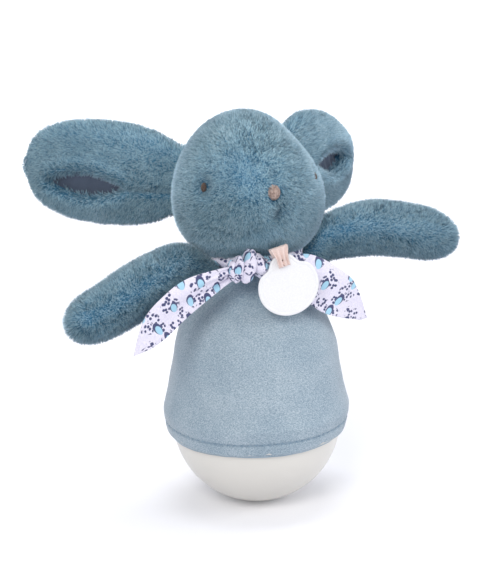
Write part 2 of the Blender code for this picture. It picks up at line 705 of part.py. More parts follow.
def head_swell(way):
    """How far the head stands out in a direction: full cheeks, a slight muzzle, and round where it meets the neck."""
    above_neck = min(1.0, max(0.0, (way.z + 0.45) / 0.35))
    muzzle = 0.035 * max(0.0, -way.y) ** 3 * (1 - abs(way.z - 0.05)) * (1 - abs(way.x))
    cheeks = 0.02 * abs(way.x) * max(0.0, 1 - abs(way.z + 0.1) * 1.6)
    return 1 + above_neck * (muzzle + cheeks)


def head_way(azimuth, elevation):
    a, e = math.radians(azimuth), math.radians(elevation)
    return Vector((math.sin(a) * math.cos(e), -math.cos(a) * math.cos(e), math.sin(e)))


def stitched(name, azimuth, elevation, half, finish):
    """A stitched pad that follows the head's round: a low dome over an oval."""
    rings, count = 3, 12
    frame = along(head_way(azimuth, elevation)).to_3x3()
    frame = Matrix((frame.col[0], frame.col[1], frame.col[2])).transposed()

    def ring(share, lift):
        made = []
        for j in range(count):
            turn = math.tau * j / count
            way = frame @ Vector((half[0] * share * math.cos(turn), half[1] * share * math.sin(turn), head_radius))
            way.normalize()
            made.append(head_centre + way * (head_radius * head_swell(way) + lift))
        return made

    shares = [i / rings for i in range(1, rings + 1)]
    top = [ring(share, gap + 0.25 + stitch_height * math.sqrt(max(0, 1 - share ** 2))) for share in shares]
    base = [ring(share, gap) for share in reversed(shares)]
    way = head_way(azimuth, elevation)
    surface = head_centre + way * head_radius * head_swell(way)
    object_from(name, lofted(top + base[:1], surface + way * (gap + 0.25 + stitch_height), surface + way * gap),
                finish, "head", 60)


def ear_frame(sign):
    """Directions of an ear: along its length, across its width, and out of its front."""
    sweep = math.radians(ear_sweep)
    level = Vector((sign * math.sin(sweep), math.cos(sweep), 0))
    front = Vector((sign * math.cos(sweep), -math.sin(sweep), 0))
    return level, front


def ear_base(sign):
    return head_centre + ear_frame(sign)[0] * ear_pivot_depth


def ear_disc(sign):
    """The ear's hinge: its Z is the axis, out of the ear's front."""
    level, front = ear_frame(sign)
    up = Vector((0, 0, 1))
    return Matrix.Translation(ear_base(sign)) @ Matrix((level, up, level.cross(up))).transposed().to_4x4()


def ear_place(sign, lift):
    """Puts (along, up, front) into the world, with the ear raised by lift."""
    level, front = ear_frame(sign)
    tilt = math.radians(lift)
    way = level * math.cos(tilt) + Vector((0, 0, 1)) * math.sin(tilt)
    across = Vector((0, 0, 1)) * math.cos(tilt) - level * math.sin(tilt)
    base = ear_base(sign)
    return lambda d, q, n: base + way * d + across * q + front * n


def make_ear(side, sign, lift):
    put = ear_place(sign, lift)
    tip = ear_outline[0][0]

    def rings(shrink, deep):
        made = []
        for d, half_width, half_thick in ear_outline[1:]:
            width = half_width - shrink * 0.8
            thick = half_thick - shrink
            if min(width, thick) > 0.6 and d < tip - deep:
                made.append([put(d, width * math.cos(math.tau * j / small_steps),
                                 thick * math.sin(math.tau * j / small_steps)) for j in range(small_steps)])
        return made

    outside = rings(0, 0)
    inside = list(reversed(rings(ear_wall, ear_wall * 1.6)))
    inner_tip = put(tip - inner_tip_room, 0, 0)
    skin = object_from(f"ear_{side}", lofted(outside + inside, put(tip, 0, 0), inner_tip), finishes["plush"],
                       f"ear_{side}", 80)

    def slit(grow, low, high, count=12):
        """A lens-shaped wall round the opening, from one depth to another."""
        edge = []
        for i in range(count + 1):
            share = i / count
            half = (slit_half_width + grow) * math.sin(math.pi * share)
            edge.append((slit_start - grow + (slit_end - slit_start + 2 * grow) * share, half))
        outline = [(d, slit_shift + half) for d, half in edge] + [(d, slit_shift - half) for d, half in edge[-2:0:-1]]
        bm = bmesh.new()
        bottom = [bm.verts.new(put(d, q, low)) for d, q in outline]
        top = [bm.verts.new(put(d, q, high)) for d, q in outline]
        bm.faces.new(bottom)
        bm.faces.new(top)
        for i in range(len(outline)):
            j = (i + 1) % len(outline)
            bm.faces.new((bottom[i], bottom[j], top[j], top[i]))
        return bm

    cut(skin, cutter(f"cut_slit_{side}", slit(0, 1.0, 20), f"ear_{side}"))

    def front_at(d, q):
        pairs = list(reversed(ear_outline))
        for (d0, w0, t0), (d1, w1, t1) in zip(pairs, pairs[1:]):
            if d0 <= d <= d1:
                share = (d - d0) / (d1 - d0)
                width, thick = w0 + (w1 - w0) * share, t0 + (t1 - t0) * share
                return thick * math.sqrt(max(0.0, 1 - (q / width) ** 2))
        return 0

    rows = []
    for i in range(9):
        share = 0.06 + 0.88 * i / 8
        half = (slit_half_width - 2 * gap) * math.sin(math.pi * share)
        d = slit_start + (slit_end - slit_start) * share
        rows.append([put(d, slit_shift + half * side_share, front_at(d, slit_shift) - lining_depth)
                     for side_share in (-1, 0, 1)])
    object_from(f"ear_lining_{side}", thickened(rows, 1.0), finishes["slate"], f"ear_{side}", 60)

    behind_lining = lining_depth + 0.5 + 2 * gap
    core = []
    for d, half_width, half_thick in ear_outline[3:-3]:
        width = half_width - ear_wall - 2 * gap
        ring = []
        for j in range(small_steps):
            turn = math.tau * j / small_steps
            thick = half_thick - behind_lining if math.sin(turn) > 0 else ear_pad_back
            ring.append(put(d, width * math.cos(turn), thick * math.sin(turn)))
        core.append(ring)
    ends = put(ear_outline[3][0] + 1.5, 0, 0), put(ear_outline[-4][0] - 1.5, 0, 0)
    object_from(f"ear_wadding_{side}", lofted(core, *ends),
                finishes["wadding"], f"ear_{side}", 80)


def arm_place(sign):
    return Vector((sign * arm_pivot[0], arm_pivot[1], arm_pivot[2]))


def arm_way(sign, lift):
    forward, tilt = math.radians(arm_forward), math.radians(lift)
    return Vector((sign * math.cos(forward) * math.cos(tilt), -math.sin(forward) * math.cos(tilt), math.sin(tilt)))


def make_arm(side, sign, lift):
    """An arm that swells to its hand, on a round root that turns in its shoulder."""
    place = along(arm_way(sign, lift), arm_place(sign))

    def bulb(shrink):
        radius = arm_bulb_radius - shrink
        neck = arm_outline[-1][1] - shrink
        start = math.sqrt(radius ** 2 - neck ** 2)
        hole = math.sqrt(radius ** 2 - arm_hole_radius ** 2)
        return arc(radius, 0, start - 0.4, -hole, 4)

    def profile(shrink):
        tip = arm_outline[0][0]
        run = [(r - shrink, d - shrink * (d / tip) ** 6) for d, r in arm_outline[1:] if r > shrink + 1.5]
        return [(0, tip - shrink)] + run + bulb(shrink)

    skin = profile(0) + list(reversed(thinned(profile(arm_wall))))
    object_from(f"arm_{side}", turned(skin, small_steps, place), finishes["plush"], f"arm_{side}", 80)
    inner = arm_wall + gap
    filling = thinned(profile(inner)) + list(reversed(thinned(profile(inner + arm_wadding))))
    object_from(f"arm_wadding_{side}", turned(filling, 16, place), finishes["wadding"], f"arm_{side}", 80)


def cloth_between(upper, lower, across, lengthways, folds):
    """A grid between two edges, with soft folds that fade out at the edges."""
    top, bottom = smooth_curve(upper, lengthways), smooth_curve(lower, lengthways)
    rows = []
    for i, (a, b) in enumerate(zip(top, bottom)):
        share_along = i / (len(top) - 1)
        row = []
        for j in range(across + 1):
            share = j / across
            depth = fold_depth * math.sin(math.pi * share * folds) * math.sin(math.pi * min(1, share_along + 0.3))
            row.append(a.lerp(b, share) + Vector((0, -depth, 0)))
        rows.append(row)
    return rows


def knot_shape(grow):
    """The tied knot: three soft ridges run round a bun whose length lies along X."""
    half = knot_half + Vector((grow, grow, grow))
    lobes = []
    for i in range(1, 8):
        polar = math.pi * i / 8
        ring = []
        for j in range(small_steps):
            turn = math.tau * j / small_steps
            ridge = 1 - 0.05 * (1 + math.cos(3 * turn + 2 * polar))
            ring.append(knot_centre + Vector((half.x * math.cos(polar),
                                              half.y * math.sin(polar) * math.cos(turn) * ridge,
                                              half.z * math.sin(polar) * math.sin(turn) * ridge)))
        lobes.append(ring)
    return lofted(lobes, knot_centre + Vector((half.x, 0, 0)), knot_centre - Vector((half.x, 0, 0)))


def make_scarf():
    band = [(band_outer - 1.8, band_top_z + 2.2), (band_outer + 0.4, band_top_z - 0.3), (band_outer, band_bottom_z + 1.3),
            (band_outer - 2.3, band_bottom_z), (band_inner, band_bottom_z), (band_inner, band_top_z - 0.6),
            (band_inner + 1.6, band_top_z)]
    collar = object_from("scarf_band", turned(band, soft_steps), finishes["print"], "plush", 60)
    room = bmesh.new()
    add_to(room, ball_at(head_centre, head_radius + gap))
    around_knot = cutter("cut_round_knot", knot_shape(gap))
    cut(collar, cutter("cut_band_head", room), around_knot,
        *[cutter(f"cut_band_arm_{i}", ball_at(arm_place(sign), arm_bulb_radius + gap))
          for i, sign in enumerate((-1, 1))])

    object_from("scarf_knot", knot_shape(0), finishes["print"], "plush", 60)
    right = cloth_between(tail_right_upper, tail_right_lower, 6, 3, 2)
    left = cloth_between(tail_left_upper, tail_left_lower, 7, 3, 2)
    for name, rows in (("scarf_tail_right", right), ("scarf_tail_left", left)):
        cut(object_from(name, thickened(rows, cloth), finishes["print"], "plush", 50), around_knot)


def tag_frame():
    """The tag's directions: right, down its length, and out of its face."""
    lean, turn = math.radians(tag_lean), math.radians(tag_turn)
    out = Vector((0, -math.cos(lean), math.sin(lean)))
    fall = Vector((0, -math.sin(lean), -math.cos(lean)))
    side = Vector((1, 0, 0))
    down = fall * math.cos(turn) + side * math.sin(turn)
    return down.cross(out) * -1, down, out


def make_tag():
    side, down, out = tag_frame()
    centre_drop = tag_length - tag_disc_radius
    outline = []
    neck_drop = tag_neck_half * 0.75
    for i in range(7):
        angle = math.pi * i / 6
        outline.append((tag_neck_half * math.cos(angle), neck_drop * (1 - math.sin(angle))))
    start = math.radians(44)
    for i in range(small_steps + 1):
        angle = start + (math.tau - 2 * start) * i / small_steps
        outline.append((-tag_disc_radius * math.sin(angle), centre_drop - tag_disc_radius * math.cos(angle)))
    place = lambda q, drop, n: tag_top + side * q + down * drop + out * n
    bm = bmesh.new()
    back = [bm.verts.new(place(q, drop, 0)) for q, drop in outline]
    front = [bm.verts.new(place(q, drop, tag_thickness)) for q, drop in outline]
    bm.faces.new(back)
    bm.faces.new(front)
    for i in range(len(outline)):
        j = (i + 1) % len(outline)
        bm.faces.new((back[i], back[j], front[j], front[i]))
    tag = object_from("name_tag", bm, finishes["white"], "tag", 40)
    hole_way = along(out, tag_top + down * tag_hole_drop)
    hole = cutter("cut_tag_hole", drill(tag_hole_radius, -3, 5, tiny_steps, hole_way), "tag")
    cut(tag, hole)

    layer = gap + ribbon_thickness / 2
    front_n, back_n = tag_thickness + layer, -layer
    middle, bend = (front_n + back_n) / 2, (front_n - back_n) / 2
    strip = [(ribbon_drop, back_n), (ribbon_drop / 2, back_n)]
    strip += [(-ribbon_rise - bend * math.sin(math.pi * i / 4), middle - bend * math.cos(math.pi * i / 4))
              for i in range(5)]
    strip += [(ribbon_drop / 2, front_n), (ribbon_drop + 0.6, front_n)]
    rows = [[place(ribbon_width * (share - 0.5), drop, n) for share in (0, 0.5, 1)] for drop, n in strip]
    ribbon = object_from("tag_ribbon", thickened(rows, ribbon_thickness), finishes["ribbon"], "tag", 60)
    cut(ribbon, hole)
    front, back = front_n + ribbon_thickness / 2 + gap, back_n - ribbon_thickness / 2 - gap
    shank, head = tag_hole_radius - gap, tag_hole_radius + 0.8
    rivet = [(0, front + 0.7), (head * 0.7, front + 0.6), (head, front), (shank, front), (shank, back),
             (head, back), (head, back - 0.5), (0, back - 0.5)]
    object_from("tag_rivet", turned(rivet, tiny_steps, hole_way), finishes["steel"], "tag")


for old in list(bpy.data.objects):
    bpy.data.objects.remove(old)

finishes = {
    "ivory": material("ivory plastic", (0.76, 0.73, 0.67), 0.35),
    "milky": material("milky plastic", (0.86, 0.85, 0.80), 0.45),
    "button": material("button plastic", (0.70, 0.68, 0.62), 0.4),
    "iron": material("cast iron", (0.09, 0.09, 0.10), 0.6, 1.0),
    "steel": material("plated steel", (0.6, 0.6, 0.6), 0.3, 1.0),
    "board": material("circuit board", (0.02, 0.16, 0.06), 0.5),
    "dark": material("black plastic", (0.02, 0.02, 0.02), 0.5),
    "lens": material("lamp lens", (0.9, 0.82, 0.6), 0.15),
    "wire": material("wire sleeve", (0.55, 0.03, 0.03), 0.5),
    "velour": material("velour", (0.26, 0.38, 0.46), 0.95),
    "lining": material("hem lining", (0.42, 0.56, 0.66), 0.9),
    "elastic": material("elastic", (0.8, 0.8, 0.8), 0.9),
    "wadding": material("wadding", (0.9, 0.9, 0.9), 1.0),
    "plush": material("plush", (0.10, 0.22, 0.32), 1.0),
    "slate": material("slate lining", (0.07, 0.09, 0.14), 0.9),
    "eye": material("eye thread", (0.09, 0.045, 0.026), 0.6),
    "nose": material("nose thread", (0.36, 0.22, 0.17), 0.6),
    "print": material("printed cotton", (0.80, 0.78, 0.90), 0.9),
    "white": material("tag card", (0.93, 0.93, 0.93), 0.4),
    "ribbon": material("satin ribbon", (0.83, 0.64, 0.57), 0.4),
    "cut": material("cutter", (1, 0, 0), 1.0),
}
pivots = {}
add_pivot("plush", (0, 0, ball_z))
add_pivot("head", head_centre)
add_pivot("button", ball_centre + button_way * ball_radius)
add_pivot("tag", tag_top)
for pivot_side, pivot_sign in (("right", -1), ("left", 1)):
    add_pivot(f"ear_{pivot_side}", ear_base(pivot_sign))
    add_pivot(f"arm_{pivot_side}", arm_place(pivot_sign))

make_bowl()
make_dome()
make_weight()
make_battery()
make_deck(make_button())
make_cover()
make_head()
make_ear("right", -1, ear_lift_right)
make_ear("left", 1, ear_lift_left)
make_arm("right", -1, arm_lift_right)
make_arm("left", 1, arm_lift_left)
make_scarf()
make_tag()
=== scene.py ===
# Night light: a weighted ball lamp under a plush rabbit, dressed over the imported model.
# Lengths are in millimetres in the dictionaries; mm() turns them to Blender's metres.
import math

import bpy
import bmesh
import numpy as np
from mathutils import Matrix, Vector, noise


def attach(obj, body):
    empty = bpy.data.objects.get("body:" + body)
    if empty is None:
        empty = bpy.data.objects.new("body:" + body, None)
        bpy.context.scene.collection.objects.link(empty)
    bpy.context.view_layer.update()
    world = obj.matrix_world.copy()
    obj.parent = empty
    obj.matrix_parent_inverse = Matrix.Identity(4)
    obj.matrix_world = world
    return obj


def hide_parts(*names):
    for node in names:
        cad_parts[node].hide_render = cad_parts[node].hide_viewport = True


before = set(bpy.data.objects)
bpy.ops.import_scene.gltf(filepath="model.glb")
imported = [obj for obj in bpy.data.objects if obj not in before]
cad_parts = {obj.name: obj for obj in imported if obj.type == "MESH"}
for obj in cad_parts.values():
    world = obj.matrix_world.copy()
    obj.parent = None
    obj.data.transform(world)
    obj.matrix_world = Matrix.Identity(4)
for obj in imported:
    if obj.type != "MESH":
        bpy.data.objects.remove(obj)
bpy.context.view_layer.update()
print("frame loaded,", len(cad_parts), "nodes")

cameraView = {
    "azimuth": -20.5, "elevation": 16.5, "roll": -1.2,  # degrees
    "distance": 1000, "target": (0, 0, 100), "lens": 128.96,
    "shiftX": -0.0243, "shiftY": 0.0174,
}

studio = {
    "worldColour": "#F0F4FF", "worldStrength": 0.52, "floorSize": 9000, "floorColour": "#E9E9ED",
    # between the fade's start and end the paper rolls up into the white wall
    "floorLift": 0.14, "fadeStart": 450, "fadeEnd": 1500,
    # place, size, power and colour of each softbox, all aimed at the middle of the rabbit
    "softboxes": [((-1980, -2420, 2530), 1900, 73, "#FFFCF5"), ((2640, -1540, 1540), 1900, 40, "#FFFFFF"),
                  ((200, 500, 2900), 2000, 45, "#FFFFFF")],
}


def mm(value):
    return value * 0.001


def linear(hexText):
    channels = [int(hexText[i:i + 2], 16) / 255 for i in (1, 3, 5)]
    return tuple(c / 12.92 if c <= 0.04045 else ((c + 0.055) / 1.055) ** 2.4 for c in channels) + (1.0,)


def addNode(tree, kind, values=None, links=None):
    # settings, numbers and colours by name, and sockets of other nodes that feed this one's
    made = tree.nodes.new(kind)
    for key, value in {**(values or {}), **(links or {})}.items():
        if isinstance(key, str) and hasattr(made, key):
            setattr(made, key, value)
        elif isinstance(value, bpy.types.NodeSocket):
            tree.links.new(value, made.inputs[key])
        else:
            made.inputs[key].default_value = value
    return made


def smoothstep(low, high, x):
    t = np.clip((x - low) / (high - low), 0, 1)
    return t * t * (3 - 2 * t)


def curveThrough(points, steps):
    # Catmull-Rom points through the given ones
    path, last = [], len(points) - 1
    for i in range(last):
        a, b, c, d = (Vector(points[max(0, min(last, k))]) for k in (i - 1, i, i + 1, i + 2))
        for step in range(steps):
            t = step / steps
            path.append(0.5 * (2 * b + (c - a) * t + (2 * a - 5 * b + 4 * c - d) * t * t
                               + (3 * b - a - 3 * c + d) * t ** 3))
    return path + [Vector(points[-1])]


def newTree(owner):
    owner.use_nodes = True
    owner.node_tree.nodes.clear()
    return owner.node_tree


def newMaterial(name, settings):
    made = bpy.data.materials.new(name)
    tree = newTree(made)
    shader = addNode(tree, "ShaderNodeBsdfPrincipled", settings)
    addNode(tree, "ShaderNodeOutputMaterial", links={"Surface": shader.outputs[0]})
    return made, tree, shader, addNode(tree, "ShaderNodeTexCoord").outputs["Object"]


def ramp(tree, source, *stops):
    made = addNode(tree, "ShaderNodeValToRGB", links={"Fac": source})
    while len(made.color_ramp.elements) < len(stops):
        made.color_ramp.elements.new(0.5)
    for element, (place, colour) in zip(made.color_ramp.elements, stops):
        element.position, element.color = place, linear(colour)
    return made.outputs["Color"]


def mixColours(tree, blendType, factor, a, b):
    # a and b are sockets or colours; factor is a socket or a number
    settings = {"data_type": "RGBA", "blend_type": blendType, 0: factor, 6: a, 7: b}
    return addNode(tree, "ShaderNodeMix", settings).outputs[2]


def maths(tree, operation, a, b):
    return addNode(tree, "ShaderNodeMath", {"operation": operation, 0: a, 1: b}).outputs[0]


def darker(colour, share):
    return tuple(c * share for c in colour[:3]) + (1,)


def linked(name, data):
    made = bpy.data.objects.new(name, data)
    bpy.context.scene.collection.objects.link(made)
    return made


def reworked(mesh, work):
    bm = bmesh.new()
    bm.from_mesh(mesh)
    work(bm)
    bm.to_mesh(mesh)
    bm.free()
    return mesh


def roundPoint(angle, radius, z):
    return Vector((radius * math.cos(angle), radius * math.sin(angle), z))


def directionOf(azimuth, elevation):
    # in degrees; azimuth 0 is the object's front
    a, e = math.radians(azimuth), math.radians(elevation)
    return np.array((math.sin(a) * math.cos(e), -math.cos(a) * math.cos(e), math.sin(e)))


def levelAndUp(towards):
    # the level direction across one that points from the object, and the upright one square to both
    side = np.cross((0, 0, 1), towards)
    side /= np.linalg.norm(side)
    return side, np.cross(towards, side)


def softened(values, rounds, ends=(4, 14)):
    # rounds off the corners of a table of sizes along a limb, and leaves its tip alone
    middle = slice(ends[0], len(values) - ends[1])
    for _ in range(rounds):
        values[middle] = np.convolve(values, np.array([1, 3, 4, 3, 1]) / 12, "same")[middle]
    return values


def makeCamera(v):
    roll = math.radians(v["roll"])
    back = Vector(directionOf(v["azimuth"], v["elevation"]))
    level = (-back).cross(Vector((0, 0, 1))).normalized()
    upright = level.cross(-back)
    right = level * math.cos(roll) + upright * math.sin(roll)
    up = upright * math.cos(roll) - level * math.sin(roll)
    data = bpy.data.cameras.new("photo camera")
    data.lens, data.sensor_width = v["lens"], 36
    data.shift_x, data.shift_y = v["shiftX"], v["shiftY"]
    data.clip_start, data.clip_end = 0.05, 20
    camera = linked("photo camera", data)
    turn = Matrix((right, up, back)).transposed().to_4x4()
    camera.matrix_world = Matrix.Translation(mm(Vector(v["target"])) + back * mm(v["distance"])) @ turn
    bpy.context.scene.camera = camera


def isSeen(tree):
    # 1 for rays from the camera or off a glossy surface, 0 for the light on the object
    seen = addNode(tree, "ShaderNodeLightPath").outputs
    return maths(tree, "MAXIMUM", seen["Is Camera Ray"], seen["Is Glossy Ray"])


def makeStudio(s):
    bpy.context.scene.view_settings.view_transform = "Standard"
    world = bpy.data.worlds.new("white room")
    bpy.context.scene.world = world
    tree = newTree(world)
    show = isSeen(tree)
    strength = addNode(tree, "ShaderNodeMapRange", {"To Min": s["worldStrength"], "To Max": 1.0},
                       {"Value": show})
    tint = mixColours(tree, "MIX", show, linear(s["worldColour"]), (1, 1, 1, 1))
    sky = addNode(tree, "ShaderNodeBackground", links={"Color": tint, "Strength": strength.outputs[0]})
    addNode(tree, "ShaderNodeOutputWorld", links={"Surface": sky.outputs[0]})

    size = mm(s["floorSize"]) / 2
    mesh = bpy.data.meshes.new("paper floor")
    mesh.from_pydata([(-size, -size, 0), (size, -size, 0), (size, size, 0), (-size, size, 0)], [],
                     [(0, 1, 2, 3)])
    floor = linked("paper floor", mesh)
    paper = bpy.data.materials.new("matt paper sweep")
    tree = newTree(paper)
    # the paper shows white to the camera and keeps the shadow that falls on it
    place = addNode(tree, "ShaderNodeTexCoord").outputs["Object"]
    reach = addNode(tree, "ShaderNodeVectorMath", {"operation": "LENGTH"}, {0: place}).outputs["Value"]
    fade = addNode(tree, "ShaderNodeMapRange", {
        "From Min": mm(s["fadeStart"]), "From Max": mm(s["fadeEnd"]), "To Min": s["floorLift"],
        "To Max": 1.0, "Value": reach}).outputs[0]
    glow = addNode(tree, "ShaderNodeEmission", {"Color": (1, 1, 1, 1)},
                   {"Strength": maths(tree, "MULTIPLY", isSeen(tree), fade)})
    matt = addNode(tree, "ShaderNodeBsdfDiffuse", {"Color": linear(s["floorColour"])})
    both = addNode(tree, "ShaderNodeAddShader", links={0: matt.outputs[0], 1: glow.outputs[0]})
    addNode(tree, "ShaderNodeOutputMaterial", links={"Surface": both.outputs[0]})
    mesh.materials.append(paper)

    for i, (spot, width, power, colour) in enumerate(s["softboxes"]):
        data = bpy.data.lights.new(f"softbox {i + 1}", "AREA")
        data.shape, data.size, data.energy, data.color = "DISK", mm(width), power, linear(colour)[:3]
        lamp = linked(f"softbox {i + 1}", data)
        lamp.location = mm(Vector(spot))
        lamp.rotation_euler = (Vector((0, 0, 0.1)) - lamp.location).to_track_quat("-Z", "Y").to_euler()


makeCamera(cameraView)
makeStudio(studio)
print("camera and studio ready")


def speckle(tree, place, size, detail=2.0, **more):
    # soft noise whose features are about this many millimetres wide
    settings = {"Scale": 1000 / size, "Detail": detail, "Vector": place, **more}
    return addNode(tree, "ShaderNodeTexNoise", settings).outputs["Fac"]


def spreadOver(tree, value, low, high):
    return addNode(tree, "ShaderNodeMapRange", {"To Min": low, "To Max": high, "Value": value}).outputs[0]


def addBump(tree, shader, height, strength, depth):
    settings = {"Strength": strength, "Distance": mm(depth), "Height": height}
    tree.links.new(addNode(tree, "ShaderNodeBump", settings).outputs[0], shader.inputs["Normal"])


def polyesterPile():
    # Knitted plush with a 4-5 mm polyester pile: dark where one sees down to its roots, pale at its tips; the
    # dark roots are painted shade, standing in for the shadow the hairs don't cast on one another.
    made, tree, shader, place = newMaterial("polyester plush pile", {
        "Roughness": 0.85, "Specular IOR Level": 0.2, "Sheen Weight": 1.0, "Sheen Roughness": 0.38,
        "Sheen Tint": linear("#C2DEF0")})
    along, tone, shade, fluff = (addNode(tree, "ShaderNodeAttribute", {"attribute_name": name}).outputs
                                 for name in ("along", "tone", "shade", "fluff"))
    # painted shade: the colour runs from a deep blue at the root to the fibre's pale blue at the tip
    hair = ramp(tree, along["Fac"], (0.0, "#265776"), (0.5, "#7EABC3"), (0.8, "#ACCAD6"), (1.0, "#CBDBDF"))
    mottle = ramp(tree, speckle(tree, place, 14), (0.3, "#DCE5EA"), (0.7, "#FFFFFF"))
    hair = mixColours(tree, "MULTIPLY", 0.8, hair, mottle)
    spread = ramp(tree, tone["Fac"], (0.0, "#6F8899"), (0.5, "#D9E4EA"), (1.0, "#FFFFFF"))
    hair = mixColours(tree, "MULTIPLY", 0.9, hair, spread)
    # painted shade: where the skin's shade attribute says, the pile turns towards a deep blue
    hair = mixColours(tree, "MIX", shade["Fac"], hair, linear("#1E3A52"))
    tree.links.new(hair, shader.inputs["Base Color"])
    facing = addNode(tree, "ShaderNodeNewGeometry").outputs["Normal"]
    turned = addNode(tree, "ShaderNodeMix", {"data_type": "VECTOR", 0: 0.85},
                     {4: facing, 5: fluff["Vector"]}).outputs[1]
    steady = addNode(tree, "ShaderNodeVectorMath", {"operation": "NORMALIZE"}, {0: turned}).outputs[0]
    tree.links.new(steady, shader.inputs["Normal"])
    return made


def plainCloth(name, colour, threadMm, bump=0.25, roughness=0.9, sheen=0.3):
    # Woven or knitted polyester: a fine grid of threads, drawn as coarse as it needs to show.
    made, tree, shader, place = newMaterial(name, {
        "Roughness": roughness, "Specular IOR Level": 0.25, "Sheen Weight": sheen, "Sheen Roughness": 0.4})
    grain = speckle(tree, place, threadMm, 3.0)
    wear = ramp(tree, speckle(tree, place, 12), (0.3, "#D8D8D8"), (0.7, "#FFFFFF"))
    base = linear(colour)
    body = mixColours(tree, "MIX", grain, darker(base, 0.72), base)
    body = mixColours(tree, "MULTIPLY", 0.5, body, wear)
    tree.links.new(body, shader.inputs["Base Color"])
    addBump(tree, shader, grain, bump, threadMm * 0.4)
    return made


def mouldedPlastic(name, colour, roughness, grainMm=0.5, bump=0.02, subsurface=0.0):
    # Injection-moulded ABS or polypropylene: even colour, a soft gloss and a faint orange-peel skin.
    made, tree, shader, place = newMaterial(name, {
        "IOR": 1.5, "Subsurface Weight": subsurface, "Subsurface Radius": (0.004, 0.0036, 0.003),
        "Subsurface Scale": 1.0})
    cloud = speckle(tree, place, 22, 1.0)
    base = linear(colour)
    body = mixColours(tree, "MIX", cloud, darker(base, 0.965), base)
    tree.links.new(body, shader.inputs["Base Color"])
    worn = spreadOver(tree, cloud, roughness - 0.04, roughness + 0.05)
    tree.links.new(worn, shader.inputs["Roughness"])
    addBump(tree, shader, speckle(tree, place, grainMm), 0.4, bump)
    return made


def bareMetal(name, colour, roughness, grainMm):
    # Cast or plated metal: a fine random grain breaks the reflections.
    made, tree, shader, place = newMaterial(name, {"Metallic": 1.0})
    grain = speckle(tree, place, grainMm, 4.0)
    base = linear(colour)
    tree.links.new(mixColours(tree, "MIX", grain, darker(base, 0.8), base), shader.inputs["Base Color"])
    worn = spreadOver(tree, grain, roughness - 0.08, roughness + 0.1)
    tree.links.new(worn, shader.inputs["Roughness"])
    addBump(tree, shader, grain, 0.3, grainMm * 0.1)
    return made


def shortVelour():
    # Velour with a 1 mm pile: a fine pebbled grain in faint rows, greyer where the pile turns to the light.
    made, tree, shader, place = newMaterial("short-pile velour", {
        "Roughness": 0.95, "Specular IOR Level": 0.15, "Sheen Weight": 0.6, "Sheen Roughness": 0.35,
        "Sheen Tint": linear("#E6E4E4")})
    rows = addNode(tree, "ShaderNodeMapping", {"Scale": (1, 1, 1.7)}, {"Vector": place}).outputs[0]
    grain = speckle(tree, rows, 0.7, Roughness=0.55)
    nap = speckle(tree, place, 17, Distortion=0.6)
    body = ramp(tree, grain, (0.32, "#8798A4"), (0.50, "#9EAEB9"), (0.68, "#B8C4CC"))
    body = mixColours(tree, "MULTIPLY", 0.45, body, ramp(tree, nap, (0.30, "#D5DFE6"), (0.68, "#FFFFFF")))
    # painted shade from the body's shade attribute, towards a deep slate blue
    shade = addNode(tree, "ShaderNodeAttribute", {"attribute_name": "shade"}).outputs["Fac"]
    body = mixColours(tree, "MIX", shade, body, linear("#4A6A80"))
    tree.links.new(body, shader.inputs["Base Color"])
    addBump(tree, shader, grain, 0.55, 0.35)
    return made


def printedCotton():
    # Thin plain-weave cotton with a small all-over print of pebbles and berry sprays.
    made, tree, shader, place = newMaterial("printed cotton", {
        "Roughness": 0.85, "Specular IOR Level": 0.25, "Sheen Weight": 0.15})
    cloth = addNode(tree, "ShaderNodeUVMap", {"uv_map": "OFBake"}).outputs[0]
    # after this, 1 is 10 mm of cloth
    flat = addNode(tree, "ShaderNodeMapping", {"Scale": (10, 10, 0)}, {"Vector": cloth}).outputs[0]

    def cells(size, jitter, stretch, turn, shift):
        laid = addNode(tree, "ShaderNodeMapping", {
            "Location": (shift, shift * 0.7, 0), "Rotation": (0, 0, turn), "Scale": stretch, "Vector": flat})
        return addNode(tree, "ShaderNodeTexVoronoi", {
            "voronoi_dimensions": "2D", "Scale": 1 / size, "Randomness": jitter, "Vector": laid.outputs[0]})

    def below(source, limit, soft):
        return addNode(tree, "ShaderNodeMapRange", {
            "interpolation_type": "SMOOTHSTEP", "From Min": limit + soft, "From Max": limit - soft,
            "Value": source}).outputs[0]

    ink = linear("#484D70")
    pebble = cells(1.08, 0.6, (1, 1.7, 1), 0.5, 0.0)
    rim = cells(1.08, 0.6, (1, 1.7, 1), 0.5, 0.085)
    kind = addNode(tree, "ShaderNodeSeparateColor", links={"Color": pebble.outputs["Color"]}).outputs[0]
    isPebble = maths(tree, "LESS_THAN", kind, 0.72)
    heart = maths(tree, "MULTIPLY", below(pebble.outputs["Distance"], 0.23, 0.015), isPebble)
    edge = maths(tree, "MULTIPLY", below(rim.outputs["Distance"], 0.31, 0.015), isPebble)
    dots = cells(0.19, 0.9, (1, 1, 1), 1.1, 0.3)
    sprays = cells(0.74, 0.8, (1, 1.3, 1), -0.6, 1.7)
    berries = maths(tree, "MULTIPLY", below(dots.outputs["Distance"], 0.36, 0.05),
                    below(sprays.outputs["Distance"], 0.40, 0.05))
    berries = maths(tree, "MULTIPLY", berries, below(edge, 0.5, 0.1))

    weave = speckle(tree, place, 0.6)
    ground = ramp(tree, weave, (0.3, "#D3CFE2"), (0.7, "#E8E4F0"))
    body = mixColours(tree, "MIX", berries, ground, ink)
    body = mixColours(tree, "MIX", edge, body, ink)
    body = mixColours(tree, "MIX", heart, body, linear("#A3CDE2"))
    tree.links.new(body, shader.inputs["Base Color"])
    addBump(tree, shader, weave, 0.2, 0.1)
    return made


def stitchedThread(name, colour, pale):
    # Satin-stitched polyester thread: each thread catches the light along its top.
    made, tree, shader, place = newMaterial(name, {"Roughness": 0.55, "Sheen Weight": 0.2})
    grain = speckle(tree, place, 0.9, 3.0)
    tree.links.new(ramp(tree, grain, (0.35, colour), (0.65, pale)), shader.inputs["Base Color"])
    return made


